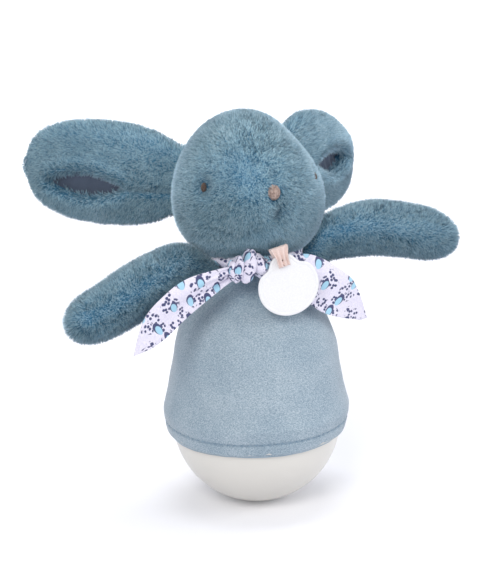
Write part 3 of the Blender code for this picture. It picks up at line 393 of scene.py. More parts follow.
def coatedCard():
    # Smooth coated card: nearly white, with a silky surface and the faintest tooth.
    made, tree, shader, place = newMaterial("coated card", {"Roughness": 0.42})
    tooth = speckle(tree, place, 0.7, 3.0)
    tree.links.new(ramp(tree, tooth, (0.3, "#E3E3E5"), (0.7, "#EAEAEC")), shader.inputs["Base Color"])
    addBump(tree, shader, tooth, 0.15, 0.05)
    return made


finish = {
    "pile": polyesterPile(),
    # the backing is the plush's blue, painted darker as shade under the pile
    "backing": plainCloth("knitted plush backing in painted shade", "#3F7698", 0.8),
    "velour": shortVelour(),
    "slate": plainCloth("slate lining velour", "#586376", 0.7, 0.4, 0.95, 0.4),
    "hem": plainCloth("pale hem lining", "#A9C0CF", 0.6),
    "elastic": plainCloth("woven elastic", "#D9D9D6", 0.5),
    "print": printedCotton(),
    "ribbon": plainCloth("satin ribbon", "#F8E0D8", 0.5, 0.15, 0.4, 0.3),
    "eye": stitchedThread("eye thread", "#2B1D16", "#594538"),
    "nose": stitchedThread("nose thread", "#7C675E", "#AB968C"),
    "seam": stitchedThread("seam thread", "#5F7D92", "#7F9BAE"),
    "card": coatedCard(),
    "ivory": mouldedPlastic("moulded ivory ABS", "#DCD9D2", 0.3),
    "milky": mouldedPlastic("milky polypropylene", "#EFEDE6", 0.42, 0.6, 0.02, 0.35),
    "button": mouldedPlastic("satin button plastic", "#D5D2C9", 0.4),
    "black": mouldedPlastic("black moulding", "#1B1B1D", 0.45),
    "board": mouldedPlastic("green solder mask", "#1F6B3A", 0.35, 0.8, 0.04),
    "lens": mouldedPlastic("warm epoxy lens", "#F2E2BC", 0.12, 0.6, 0.01, 0.5),
    "wire": mouldedPlastic("silicone wire sleeve", "#B02A2A", 0.5, 0.4, 0.03),
    "iron": bareMetal("sand-cast iron", "#5A5A5E", 0.62, 0.6),
    "steel": bareMetal("nickel-plated steel", "#C8C8C6", 0.28, 0.3),
    "brass": bareMetal("aged brass", "#6B5348", 0.45, 0.3),
}
print("materials ready")


def newObject(name, mesh, material, smooth=True):
    mesh.materials.clear()
    mesh.materials.append(material)
    for polygon in mesh.polygons:
        polygon.use_smooth = smooth
    return linked(name, mesh)


def thicken(obj, thickness, offset=0):
    step = obj.modifiers.new("cloth", "SOLIDIFY")
    step.thickness, step.offset = mm(thickness), offset


def faceOut(bm):
    bmesh.ops.recalc_face_normals(bm, faces=bm.faces)


def gridMesh(name, grid, closeRound=False, capEnds=False):
    # rows of points to a mesh; closeRound joins the last column to the first, capEnds adds a pole at each end
    rows, cols = len(grid), len(grid[0])
    verts = [tuple(mm(p)) for row in grid for p in row]
    span = cols if closeRound else cols - 1
    faces = [(r * cols + c, r * cols + (c + 1) % cols, (r + 1) * cols + (c + 1) % cols, (r + 1) * cols + c)
             for r in range(rows - 1) for c in range(span)]
    if capEnds:
        for row, flip in ((0, True), (rows - 1, False)):
            centre = sum((Vector(p) for p in grid[row]), Vector()) / cols
            verts.append(tuple(mm(centre)))
            pole = len(verts) - 1
            for c in range(cols):
                pair = (row * cols + c, row * cols + (c + 1) % cols)
                faces.append((*(pair[::-1] if flip else pair), pole))
    mesh = bpy.data.meshes.new(name)
    mesh.from_pydata(verts, [], faces)
    return reworked(mesh, faceOut)


def setAttribute(mesh, name, values, kind="FLOAT"):
    attribute = mesh.attributes.new(name, kind, "POINT")
    attribute.data.foreach_set("vector" if kind == "FLOAT_VECTOR" else "value",
                               np.asarray(values, np.float32).ravel())


def threadMesh(name, paths, radius, sides=6):
    # round threads along paths of points, thinner where they dive into the cloth, each in its own map cell
    verts, faces, uvs = [], [], []
    across = math.ceil(math.sqrt(len(paths)))
    for number, path in enumerate(paths):
        start, last = len(verts), len(path) - 1
        column, row = number % across, number // across
        for i, point in enumerate(path):
            along = (Vector(path[min(last, i + 1)]) - Vector(path[max(0, i - 1)])).normalized()
            side = along.orthogonal().normalized()
            other = along.cross(side)
            size = radius * (0.35 + 0.65 * math.sin(math.pi * (0.06 + 0.88 * i / last)) ** 0.5)
            for k in range(sides):
                turn = math.tau * k / sides
                spoke = side * math.cos(turn) + other * math.sin(turn)
                verts.append(tuple(mm(Vector(point) + spoke * size)))
        for i in range(last):
            for k in range(sides):
                a, b = start + i * sides + k, start + i * sides + (k + 1) % sides
                faces.append((a, b, b + sides, a + sides))
                corners = ((k, i), (k + 1, i), (k + 1, i + 1), (k, i + 1))
                uvs += [((column + 0.1 + 0.8 * u / sides) / across, (row + 0.1 + 0.8 * v / last) / across)
                        for u, v in corners]
    mesh = bpy.data.meshes.new(name)
    mesh.from_pydata(verts, [], faces)
    layer = mesh.uv_layers.new(name="OFBake")
    layer.data.foreach_set("uv", np.array(uvs, np.float32).ravel())
    return mesh


def evaluatedMesh(obj):
    bpy.context.view_layer.update()
    graph = bpy.context.evaluated_depsgraph_get()
    return bpy.data.meshes.new_from_object(obj.evaluated_get(graph), depsgraph=graph)


def buildPileTree():
    # hairs on a skin: each stands along the skin's normal, leans with the nap and strays with its
    # neighbours, so that they gather in locks
    tree = bpy.data.node_groups.new("plush pile", "GeometryNodeTree")
    face = tree.interface
    face.new_socket("Geometry", in_out="INPUT", socket_type="NodeSocketGeometry")
    sizes = {"Hairs per mm2": 10.0, "Length mm": 4.5, "Width mm": 0.4, "Lock size mm": 3.5,
             "Lock strength": 0.3, "Stray": 0.12}
    for label, start in sizes.items():
        face.new_socket(label, in_out="INPUT", socket_type="NodeSocketFloat").default_value = start
    face.new_socket("Seed", in_out="INPUT", socket_type="NodeSocketInt").default_value = 1
    face.new_socket("Pile", in_out="INPUT", socket_type="NodeSocketMaterial")
    face.new_socket("Geometry", in_out="OUTPUT", socket_type="NodeSocketGeometry")
    given = addNode(tree, "NodeGroupInput").outputs

    def vectors(operation, a, b):
        second = "Scale" if operation == "SCALE" else 1
        return addNode(tree, "ShaderNodeVectorMath", {"operation": operation, 0: a, second: b}).outputs[0]

    def product(a, b):
        return maths(tree, "MULTIPLY", a, b)

    def stored(geometry, name, value, kind="FLOAT"):
        return addNode(tree, "GeometryNodeStoreNamedAttribute", {
            "data_type": kind, "domain": "POINT", "Name": name, "Geometry": geometry,
            "Value": value}).outputs[0]

    def ownAttribute(name, kind="FLOAT"):
        return addNode(tree, "GeometryNodeInputNamedAttribute",
                       {"data_type": kind, "Name": name}).outputs["Attribute"]

    def chance(low, high, seed, kind="FLOAT"):
        made = addNode(tree, "FunctionNodeRandomValue", {"data_type": kind})
        first = 0 if kind == "FLOAT_VECTOR" else 2
        made.inputs[first].default_value = low
        made.inputs[first + 1].default_value = high
        tree.links.new(maths(tree, "ADD", given["Seed"], seed), made.inputs["Seed"])
        return made.outputs[0 if kind == "FLOAT_VECTOR" else 1]

    density = product(product(given["Hairs per mm2"], 1e6), ownAttribute("pileDensity"))
    points = addNode(tree, "GeometryNodeDistributePointsOnFaces", {"distribute_method": "RANDOM"},
                     {"Mesh": given["Geometry"], "Density": density, "Seed": given["Seed"]})
    kept = stored(points.outputs["Points"], "fluff", points.outputs["Normal"], "FLOAT_VECTOR")
    kept = stored(kept, "tone", chance(0.0, 1.0, 11))

    place = addNode(tree, "GeometryNodeInputPosition").outputs[0]
    lockScale = maths(tree, "DIVIDE", 1000.0, given["Lock size mm"])
    lock = addNode(tree, "ShaderNodeTexNoise", {"Detail": 2.0},
                   {"Vector": place, "Scale": lockScale}).outputs["Color"]
    lock = vectors("SUBTRACT", lock, (0.5, 0.5, 0.5))
    lock = vectors("SCALE", lock, product(given["Lock strength"], 4.0))
    stray = vectors("SCALE", chance((-1, -1, -1), (1, 1, 1), 23, "FLOAT_VECTOR"), given["Stray"])
    way = vectors(
        "ADD", vectors("ADD", ownAttribute("fluff", "FLOAT_VECTOR"), ownAttribute("comb", "FLOAT_VECTOR")),
        vectors("ADD", lock, stray))
    turn = addNode(tree, "FunctionNodeAlignRotationToVector", {"axis": "Z"}, {"Vector": way}).outputs[0]
    spin = addNode(tree, "FunctionNodeAxisAngleToRotation", {"Axis": (0, 0, 1)},
                   {"Angle": chance(0.0, 6.283, 31)}).outputs[0]
    turn = addNode(tree, "FunctionNodeRotateRotation", {"rotation_space": "LOCAL"},
                   {"Rotation": turn, "Rotate By": spin}).outputs[0]

    length = product(product(given["Length mm"], 0.001), chance(0.78, 1.08, 41))
    length = product(length, ownAttribute("pileLength"))
    width = product(product(given["Width mm"], 0.001), chance(0.7, 1.3, 43))
    size = addNode(tree, "ShaderNodeCombineXYZ", links={0: width, 1: width, 2: length}).outputs[0]

    # the hair is one slim triangle: a ring of three corners stood on one of them, widest near its tip
    ring = addNode(tree, "GeometryNodeMeshCircle",
                   {"fill_type": "NGON", "Vertices": 3, "Radius": 1.0}).outputs[0]
    corner = addNode(tree, "ShaderNodeSeparateXYZ",
                     links={0: addNode(tree, "GeometryNodeInputPosition").outputs[0]}).outputs
    height = maths(tree, "DIVIDE", maths(tree, "SUBTRACT", 1.0, corner[0]), 1.5)
    height = maths(tree, "SUBTRACT", height, product(maths(tree, "MAXIMUM", corner[1], 0.0), 0.32))
    stood = addNode(tree, "ShaderNodeCombineXYZ", links={0: product(corner[1], 0.577), 2: height}).outputs[0]
    tuft = stored(ring, "along", height)
    tuft = addNode(tree, "GeometryNodeSetPosition", links={"Geometry": tuft, "Position": stood}).outputs[0]
    tufts = addNode(tree, "GeometryNodeInstanceOnPoints",
                    links={"Points": kept, "Instance": tuft, "Rotation": turn, "Scale": size}).outputs[0]
    plain = addNode(tree, "GeometryNodeRealizeInstances", links={"Geometry": tufts}).outputs[0]
    facing = addNode(tree, "GeometryNodeInputNormal").outputs["Normal"]
    outwards = addNode(tree, "ShaderNodeVectorMath", {
        "operation": "DOT_PRODUCT", 0: facing, 1: ownAttribute("fluff", "FLOAT_VECTOR")}).outputs["Value"]
    turned = addNode(tree, "GeometryNodeFlipFaces",
                     links={"Mesh": plain, "Selection": maths(tree, "LESS_THAN", outwards, 0.0)}).outputs[0]
    dressed = addNode(tree, "GeometryNodeSetMaterial",
                      links={"Geometry": turned, "Material": given["Pile"]}).outputs[0]
    addNode(tree, "NodeGroupOutput", links={"Geometry": dressed})
    return tree


pileTree = buildPileTree()
uvTiles = 96


def growPile(name, skin, body, settings):
    holder = linked("holder", skin.data)
    step = holder.modifiers.new("pile", "NODES")
    step.node_group = pileTree
    for item in pileTree.interface.items_tree:
        if item.in_out == "INPUT" and item.name in settings:
            step[item.identifier] = settings[item.name]
        elif item.in_out == "INPUT" and item.name == "Pile":
            step[item.identifier] = finish["pile"]
    mesh = evaluatedMesh(holder)
    bpy.data.objects.remove(holder)
    giveHairsTheirUv(mesh)
    made = newObject(name, mesh, finish["pile"])
    fluff = np.zeros(len(mesh.vertices) * 3, np.float32)
    mesh.attributes["fluff"].data.foreach_get("vector", fluff)
    mesh.normals_split_custom_set_from_vertices(fluff.reshape(-1, 3))
    # hairs this fine pass most of the light on, so the skin under them casts the shadow
    made.visible_shadow = False
    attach(made, body)
    print(name, "has", len(mesh.polygons), "faces")
    return made


def giveHairsTheirUv(mesh):
    # hairs that grow in one direction share a cell of the map: across the hair in u, root to tip in v
    count = len(mesh.loops)
    corner, place = np.zeros(count, np.int32), np.zeros(len(mesh.vertices) * 3)
    along = np.zeros(len(mesh.vertices), np.float32)
    mesh.loops.foreach_get("vertex_index", corner)
    mesh.vertices.foreach_get("co", place)
    mesh.attributes["along"].data.foreach_get("value", along)
    hairs = place.reshape(-1, 3)[corner].reshape(-1, 3, 3).mean(1)
    way = hairs - hairs.mean(0)
    way /= np.linalg.norm(way, axis=1)[:, None]
    column = np.floor((np.arctan2(way[:, 0], -way[:, 1]) / math.tau + 0.5) * (uvTiles - 0.01))
    row = np.floor((np.arcsin(way[:, 2]) / math.pi + 0.5) * (uvTiles - 0.01))
    across = np.tile((0.0, 0.5, 1.0), len(hairs))
    u = (np.repeat(column, 3) + 0.15 + 0.7 * across) / uvTiles
    v = (np.repeat(row, 3) + 0.15 + 0.7 * along[corner]) / uvTiles
    layer = mesh.uv_layers.new(name="OFBake")
    layer.data.foreach_set("uv", np.stack([u, v], 1).astype(np.float32).ravel())


# the head: an upright egg with full cheeks; lobes push it out, or in, towards a direction
head = {
    "centre": (-2.9, -2.0, 158.5), "radius": 35.4, "pile": 4.4, "rounds": 5,
    # direction, sharpness, push as a share of the radius
    "lobes": [((0.66, -0.18, -0.69), 5, 0.15), ((-0.70, -0.02, -0.66), 5, 0.12),
              ((0.72, -0.12, 0.60), 6, -0.135), ((-0.66, 0.10, 0.42), 6, -0.045),
              ((0, -0.98, -0.15), 6, 0.04)],
    "eyeAzimuth": 56, "eyeElevation": 9, "eyeHalf": (1.9, 2.6), "socketHalf": (4.5, 6.0),
    "noseElevation": 5, "noseHalf": (4.1, 4.4),
    "mouthAzimuth": 3, "mouthElevation": -12, "mouthHalf": (3.0, 4.0), "neckBare": -0.86,
}
headPile = {"Hairs per mm2": 12.0, "Length mm": 4.9, "Width mm": 0.42, "Lock size mm": 4.5,
            "Lock strength": 0.26, "Stray": 0.42, "Seed": 4}


def headRadius(ways):
    # ways is an array of unit directions from the head's centre
    share = np.ones(len(ways))
    for towards, sharpness, push in head["lobes"]:
        towards = np.array(towards) / np.linalg.norm(towards)
        share += push * np.clip(ways @ towards, 0, 1) ** sharpness
    return head["radius"] * share


def ovalMask(ways, azimuth, elevation, half, soft):
    # 1 inside an oval on the head, 0 outside it
    towards = directionOf(azimuth, elevation)
    side, up = levelAndUp(towards)
    x, y = ways @ side * head["radius"], ways @ up * head["radius"]
    distance = np.sqrt((x / half[0]) ** 2 + (y / half[1]) ** 2)
    distance[ways @ towards < 0] = 9
    return 1 - smoothstep(1 - soft, 1 + soft, distance)


def makeHead():
    mesh = reworked(bpy.data.meshes.new("headSkin"), lambda bm: bmesh.ops.create_icosphere(
        bm, subdivisions=head["rounds"] + 1, radius=1.0))
    ways = np.zeros(len(mesh.vertices) * 3)
    mesh.vertices.foreach_get("co", ways)
    ways = ways.reshape(-1, 3)
    ways /= np.linalg.norm(ways, axis=1)[:, None]
    radius = headRadius(ways) - head["pile"]
    eyes, socket = (ovalMask(ways, -head["eyeAzimuth"], head["eyeElevation"], half, soft)
                    + ovalMask(ways, head["eyeAzimuth"], head["eyeElevation"], half, soft)
                    for half, soft in ((head["eyeHalf"], 0.3), (head["socketHalf"], 0.6)))
    nose = ovalMask(ways, 0, head["noseElevation"], head["noseHalf"], 0.2)
    mouth = ovalMask(ways, head["mouthAzimuth"], head["mouthElevation"], head["mouthHalf"], 0.6)
    parting = np.exp(-((ways[:, 0] + 0.02) * head["radius"] / 1.1) ** 2)
    parting *= (ways[:, 1] < 0) * smoothstep(0.16, 0.24, ways[:, 2])
    broken = np.array([noise.noise(Vector(w) * 9) for w in ways])
    parting *= smoothstep(-0.15, 0.35, broken)
    radius -= 1.0 * socket + 1.3 * mouth + 0.6 * parting
    points = np.array(head["centre"]) + ways * radius[:, None]
    mesh.vertices.foreach_set("co", (points * 0.001).ravel())
    bare = np.clip(eyes + nose, 0, 1)
    neck = smoothstep(head["neckBare"] - 0.03, head["neckBare"] + 0.03, ways[:, 2])
    setAttribute(mesh, "pileDensity", (1 - bare) * neck)
    setAttribute(mesh, "pileLength", 1 - 0.35 * socket - 0.25 * mouth - 0.25 * parting)
    # painted shade in the eye sockets, the mouth's crease and the parting
    setAttribute(mesh, "shade", np.clip(0.35 * socket + 0.75 * mouth + 0.5 * parting, 0, 0.9))
    fall = np.cross(ways, np.cross(ways, (0, 0, 1)))
    setAttribute(mesh, "comb", fall * 0.12, "FLOAT_VECTOR")
    skin = newObject("headSkin", mesh, finish["backing"])
    growPile("headPile", skin, "head", headPile)
    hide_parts("head_skin", "head_wadding")
    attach(skin, "head")


stitching = {
    # half width and height, thread count and radius, depth below the fur's tips, and the pad's rise
    "eye": {"half": (1.45, 2.15), "threads": 9, "radius": 0.32, "sink": 2.6, "rise": 1.4},
    "nose": {"half": (2.9, 3.7), "threads": 15, "radius": 0.33, "sink": 2.0, "rise": 1.7},
}


def makeStitchedPad(name, azimuth, elevation, kind, upright):
    # satin stitch: threads lie side by side over a low pad
    s = stitching[kind]
    towards = directionOf(azimuth, elevation)
    side, up = levelAndUp(towards)
    paths = []
    for i in range(s["threads"]):
        share = -1 + 2 * (i + 0.5) / s["threads"]
        reach = math.sqrt(max(0.04, 1 - share ** 2))
        path = []
        for step in np.linspace(-1, 1, 9):
            x, y = (share, step * reach) if upright else (step * reach, share)
            y += 0.05 * x * (-1) ** i
            flat = towards * head["radius"] + side * x * s["half"][0] + up * y * s["half"][1]
            way = flat / np.linalg.norm(flat)
            lift = s["rise"] * math.sqrt(max(0.0, 1 - min(1.0, x * x + y * y)))
            radius = float(headRadius(way[None, :])[0]) - s["sink"] + lift
            path.append(Vector(np.array(head["centre"]) + way * radius))
        paths.append(path)
    made = newObject(f"{name}Stitches", threadMesh(f"{name}Stitches", paths, s["radius"], 8), finish[kind])
    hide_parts(name)
    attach(made, "head")


makeHead()
makeStitchedPad("eye_right", -head["eyeAzimuth"] - 2.2, head["eyeElevation"] - 1.0, "eye", False)
makeStitchedPad("eye_left", head["eyeAzimuth"] + 2.2, head["eyeElevation"] - 1.0, "eye", False)
makeStitchedPad("nose", 0, head["noseElevation"], "nose", True)
print("head done")

# the ears: half width and half thickness along each, from its root
ear = {
    "outline": [(91.0, 0.0, 0.0), (90.6, 4.4, 1.5), (89.0, 8.6, 2.7), (84.5, 15.0, 4.6), (76.5, 20.6, 6.6),
                (65.0, 24.2, 8.2), (48.0, 25.6, 9.4), (33.0, 24.4, 9.2), (21.0, 20.8, 7.8), (12.5, 17.4, 6.4),
                (8.5, 15.9, 5.9), (0.0, 15.4, 5.6), (-8.0, 13.0, 5.2)],
    "pivotDepth": 27.0, "sweep": {"right": 49.5, "left": 47.5}, "reach": {"right": 0.975, "left": 0.995},
    "lift": {"right": 1.3, "left": -7.0}, "pile": 3.6,
    "slit": (30.0, 81.0), "slitHalf": 6.2, "slitShift": {"right": -5.6, "left": 0.5},
    "slitDepth": 6.5, "creaseDepth": 2.8,
    # the far ear curls: its upper edge draws in towards the tip and swells at the root
    "tipTrim": {"right": 0.0, "left": 0.30}, "rootFull": {"right": 0.0, "left": 0.12},
    # how much of the lining's width lies under the slit's two lips
    "tuck": 3.6, "rootSwell": 0.07, "rings": 110, "around": 128,
}
earPile = {"Hairs per mm2": 11.0, "Length mm": 4.5, "Width mm": 0.42, "Lock size mm": 4.0,
           "Lock strength": 0.22, "Stray": 0.40, "Seed": 9}


def earDirections(side):
    sign = -1 if side == "right" else 1
    sweep, lift = math.radians(ear["sweep"][side]), math.radians(ear["lift"][side])
    level = Vector((sign * math.sin(sweep), math.cos(sweep), 0))
    front = Vector((sign * math.cos(sweep), -math.sin(sweep), 0))
    way = level * math.cos(lift) + Vector((0, 0, 1)) * math.sin(lift)
    across = Vector((0, 0, 1)) * math.cos(lift) - level * math.sin(lift)
    base = Vector(head["centre"]) + level * ear["pivotDepth"]
    return tuple(np.array(v) for v in (base, way, across, front))


def slitShape(d):
    # half width of the ear's opening at a distance along it
    start, end = ear["slit"]
    share = np.clip((d - start) / (end - start), 0, 1)
    return ear["slitHalf"] * np.sin(np.pi * share)


def makeEar(side):
    body = f"{side}_ear"
    base, way, across, front = earDirections(side)
    table = np.array(ear["outline"][::-1])
    distance = np.concatenate([np.linspace(-8, 84, ear["rings"]),
                               84 + 7 * np.sin(np.linspace(0.1, math.pi / 2, 14))])[:-1]
    swell = 1 + ear["rootSwell"] * np.exp(-((distance - 18) / 12) ** 2)
    width = np.interp(distance, table[:, 0], table[:, 1]) * swell
    thick = np.interp(distance, table[:, 0], table[:, 2])
    width = np.maximum(softened(width, 3) - ear["pile"] * 0.9, 0.4)
    thick = np.maximum(softened(thick, 3) - ear["pile"] * 0.75, 0.4)
    angles = np.linspace(0, 2 * math.pi, ear["around"], endpoint=False)
    rows, sunk, facing, tips = [], [], [], []
    for d, w, t in zip(distance, width, thick):
        upper = np.clip(np.cos(angles) * 1.5 + 0.3, 0, 1)
        trim = ear["tipTrim"][side] * smoothstep(48, 86, d)
        trim -= ear["rootFull"][side] * math.exp(-((d - 28) / 16) ** 2)
        q = w * np.cos(angles) * (1 - trim * upper)
        n = t * np.sin(angles)
        isFront = np.clip(np.sin(angles) * 4, 0, 1)
        half = slitShape(d)
        gap = np.abs(q - ear["slitShift"][side])
        pocket = (1 - smoothstep(half - 1.2, half + 1.6, gap)) * smoothstep(0.4, 2.2, half) * isFront
        root = 1 - smoothstep(ear["slit"][0] - 4, ear["slit"][0] + 5, d)
        crease = np.exp(-(gap / 1.7) ** 2) * root * smoothstep(4, 16, d) * isFront
        lip = np.exp(-((gap - half - 3.5) / 3.2) ** 2) * smoothstep(0.4, 2.2, half) * isFront
        n = n - pocket * min(ear["slitDepth"], 2 * t - 1.5) - crease * ear["creaseDepth"] + lip * 0.9
        rows.append(base + d * ear["reach"][side] * way + q[:, None] * across + n[:, None] * front)
        sunk.append(np.stack([pocket, crease, lip], 1))
        tips.append(np.full(len(angles), smoothstep(80, 90, d)))
        facing.append(np.cos(angles) + 2.2 * lip * np.sign(q - ear["slitShift"][side]))
    mesh = gridMesh(f"earSkin_{side}", rows, True, True)
    grid = np.concatenate(sunk + [np.zeros((2, 3))])
    setAttribute(mesh, "pileDensity", 1 - smoothstep(0.03, 0.25, grid[:, 0]))
    tips = np.concatenate(tips + [[0.0, 1.0]])
    setAttribute(mesh, "pileLength",
                 1 - 0.35 * grid[:, 1] - 0.2 * grid[:, 0] - 0.25 * grid[:, 2] - 0.5 * tips)
    # painted shade: a little over the whole ear, more in the crease at its root and in the opening's pocket
    setAttribute(mesh, "shade", np.clip(0.08 + 0.5 * grid[:, 1] + 0.35 * grid[:, 0], 0, 0.8))
    outwards = np.concatenate([np.outer(c, across) for c in facing] + [np.zeros((2, 3))])
    setAttribute(mesh, "comb", outwards * 0.25 + way * 0.2, "FLOAT_VECTOR")
    skin = newObject(f"earSkin_{side}", mesh, finish["backing"])
    growPile(f"earPile_{side}", skin, body, {**earPile, "Seed": earPile["Seed"] + (side == "left")})
    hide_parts(f"ear_{side}", f"ear_wadding_{side}")
    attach(skin, body)

    # the slate lining lies on the pocket's floor and tucks under its lips
    start, end = ear["slit"]
    rows = []
    for share in np.linspace(0.03, 0.97, 40):
        d = start + (end - start) * share
        half = max(0.5, slitShape(d) + 0.3)
        full = float(np.interp(d, distance, thick))
        depth = full - min(ear["slitDepth"], 2 * full - 1.5) + 0.5
        rows.append([base + d * ear["reach"][side] * way + (ear["slitShift"][side] + half * s) * across
                     + (depth + 1.6 * s * s + 0.25 * math.sin(d * 0.9 + 2 * s)) * front
                     for s in np.linspace(-1, 1, 13)])
    mesh = gridMesh(f"earLining_{side}", rows)
    width = mm(2 * max(slitShape(d) for d in np.linspace(*ear["slit"], 60)) + ear["tuck"])
    lining = newObject(f"earLining_{side}", mesh, finish["slate"])
    thicken(lining, 0.5, -1)
    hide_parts(f"ear_lining_{side}")
    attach(lining, body)


for side in ("right", "left"):
    makeEar(side)
print("ears done")

arm = {
    "pivot": (24.0, -2.0, 111.0), "forward": 14.5, "lift": {"right": -5.0, "left": 12.2}, "pile": 3.9,
    # how far the arm bows up from the straight line of its bones, by distance from the shoulder
    "bow": {"right": [(-7, 0), (0, 5), (7, 12.2), (15, 14.4), (40, 7.4), (58, 2.4), (75, 0.6)],
            "left": [(-7, 0), (0, 3.8), (7, 10.7), (14, 14.5), (30, 14.5), (40, 13.3), (50, 9.7), (60, 5.3),
                     (70, 1.7), (75, 0.3)]},
    "handTrim": {"right": 0.09, "left": 0.0}, "hand": (35.0, 60.0),
    "outline": [(-9.0, 4.5), (-6.0, 7.2), (0.0, 9.4), (8.4, 9.5), (15.0, 10.1), (22.0, 11.1), (31.0, 12.2),
                (42.0, 13.0), (53.0, 13.2), (62.0, 12.9), (68.0, 11.4), (72.0, 8.9), (74.0, 6.0),
                (75.0, 2.4)],
    # the arms' pile carries painted shade, so they are a little deeper in colour
    "rings": 90, "around": 56, "shade": {"right": 0.17, "left": 0.24},
}
armPile = {"Hairs per mm2": 11.0, "Length mm": 4.8, "Width mm": 0.42, "Lock size mm": 4.5,
           "Lock strength": 0.28, "Stray": 0.42, "Seed": 21}


def makeArm(side):
    sign, body = (-1 if side == "right" else 1), f"{side}_arm"
    way = directionOf(sign * (90 - arm["forward"]), arm["lift"][side])
    level, up = levelAndUp(way)
    pivot = np.array(arm["pivot"]) * (sign, 1, 1)
    table = np.array(arm["outline"])
    distance = np.concatenate([np.linspace(-9, 68, arm["rings"]),
                               68 + 7.0 * np.sin(np.linspace(0.1, math.pi / 2, 14))])
    radius = np.interp(distance, table[:, 0], table[:, 1])
    radius = softened(radius, 4) * (1 - arm["handTrim"][side] * smoothstep(*arm["hand"], distance))
    radius = np.maximum(radius - arm["pile"] * 0.85, 0.3)
    knots = np.array(arm["bow"][side])
    bow = softened(np.interp(distance, knots[:, 0], knots[:, 1]), 10)
    angles = np.linspace(0, 2 * math.pi, arm["around"], endpoint=False)
    ring = np.cos(angles)[:, None] * level + np.sin(angles)[:, None] * up * 1.03
    rows = [pivot + d * way + up * bend + r * ring for d, r, bend in zip(distance, radius, bow)]
    mesh = gridMesh(f"armSkin_{side}", rows, True, True)
    count = len(mesh.vertices)
    setAttribute(mesh, "pileDensity", np.ones(count))
    setAttribute(mesh, "pileLength", np.ones(count))
    # painted shade, even over the whole arm
    setAttribute(mesh, "shade", np.full(count, arm["shade"][side]))
    setAttribute(mesh, "comb", np.tile(way * 0.3 - np.array((0, 0, 0.08)), (count, 1)), "FLOAT_VECTOR")
    skin = newObject(f"armSkin_{side}", mesh, finish["backing"])
    growPile(f"armPile_{side}", skin, body, {**armPile, "Seed": armPile["Seed"] + (side == "left")})
    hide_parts(f"arm_{side}", f"arm_wadding_{side}")
    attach(skin, body)


for side in ("right", "left"):
    makeArm(side)
print("arms done")

ball = {"radius": 41.0, "foot": 7.0, "wall": 2.2, "rim": 44.0, "steps": 192,
        "door": 12.0, "doorAngle": 40.0, "button": 5.0, "buttonAngle": 18.0, "groove": 0.3}
ball["middle"] = math.sqrt(ball["radius"] ** 2 - ball["foot"] ** 2)


def lathe(name, profile, steps, material):
    # profile is (radius, height) from bottom to top; a closed one gives a wall
    grid = [[roundPoint(math.tau * i / steps, r, z) for i in range(steps)] for r, z in profile]

    def weld(bm):
        bmesh.ops.remove_doubles(bm, verts=bm.verts, dist=1e-7)
        bmesh.ops.dissolve_degenerate(bm, edges=bm.edges, dist=1e-8)
        faceOut(bm)

    return newObject(name, reworked(gridMesh(name, grid + [grid[0]], True), weld), material)


def arcPoints(radius, start, end, steps):
    # points of the ball's circle between two heights
    first, last = (math.asin(max(-1, min(1, (z - ball["middle"]) / radius))) for z in (start, end))
    return [(radius * math.cos(first + (last - first) * i / steps),
             ball["middle"] + radius * math.sin(first + (last - first) * i / steps))
            for i in range(steps + 1)]


def cutHole(target, way, radius):
    turn = way.to_track_quat("Z", "Y").to_matrix().to_4x4()
    place = Matrix.Translation(mm(Vector((0, 0, ball["middle"])) + way * ball["radius"])) @ turn
    drill = linked("drill", reworked(bpy.data.meshes.new("drill"), lambda bm: bmesh.ops.create_cone(
        bm, segments=96, radius1=mm(radius), radius2=mm(radius), depth=mm(24), cap_ends=True, matrix=place)))
    step = target.modifiers.new("hole", "BOOLEAN")
    step.operation, step.solver, step.object = "DIFFERENCE", "EXACT", drill
    target.data = evaluatedMesh(target)
    target.modifiers.clear()
    bpy.data.objects.remove(drill)


def aim(angle):
    # from the ball's middle to its back, this many degrees up from straight down
    return Vector((0, math.sin(math.radians(angle)), -math.cos(math.radians(angle))))


def makeBall():
    inner = ball["radius"] - ball["wall"]
    floor = ball["middle"] - inner
    outside = [(0.01, 0), (ball["foot"] - 0.4, 0)] + arcPoints(ball["radius"], 0.05, ball["rim"] - 0.3, 60)
    rim = [(ball["radius"] - 0.5, ball["rim"]), (ball["radius"] - 2.0, ball["rim"])]
    inside = arcPoints(inner, ball["rim"] - 1, floor + 0.2, 40)
    bowl = lathe("moulded_bowl", outside + rim + inside + [(0.01, floor)], ball["steps"], finish["ivory"])
    cutHole(bowl, aim(ball["doorAngle"]), ball["door"] + ball["groove"])
    cutHole(bowl, aim(90 - ball["buttonAngle"]), ball["button"] + ball["groove"])
    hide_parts("base_bowl")
    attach(bowl, "light_module")
    top = ball["middle"] + ball["radius"]
    outside = arcPoints(ball["radius"], ball["rim"] + 0.3, top - 0.01, 60)
    inside = arcPoints(ball["radius"] - 1.8, top - 1.82, ball["rim"] + 1.2, 40)
    lap = [(ball["radius"] - inset, ball["rim"] + z) for inset, z in ((4.1, -1.1), (2.5, -1.1), (2.5, 0.3))]
    dome = lathe("milky_dome", lap + outside + inside, ball["steps"], finish["milky"])
    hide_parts("ball_dome")
    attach(dome, "light_module")


makeBall()
print("ball done")

bell = {
    "outline": [(42.9, 35.5), (44.0, 39.0), (44.8, 43.5), (45.2, 47.5), (44.4, 51.0), (43.0, 56.4),
                (42.2, 60.6), (41.5, 64.7), (40.7, 69.0), (39.9, 75.0), (39.1, 80.0), (36.5, 88.0),
                (33.1, 96.0), (29.3, 102.0), (26.2, 106.5), (22.6, 112.0), (18.8, 117.5), (15.6, 121.0),
                (12.6, 126.0)],
    "around": 240, "stitchHeight": 6.2, "stitchDepth": 0.5, "puckers": 46, "puckerDepth": 0.3, "slack": 0.35,
    "hemTilt": 0.012, "topInner": 11.0,
}


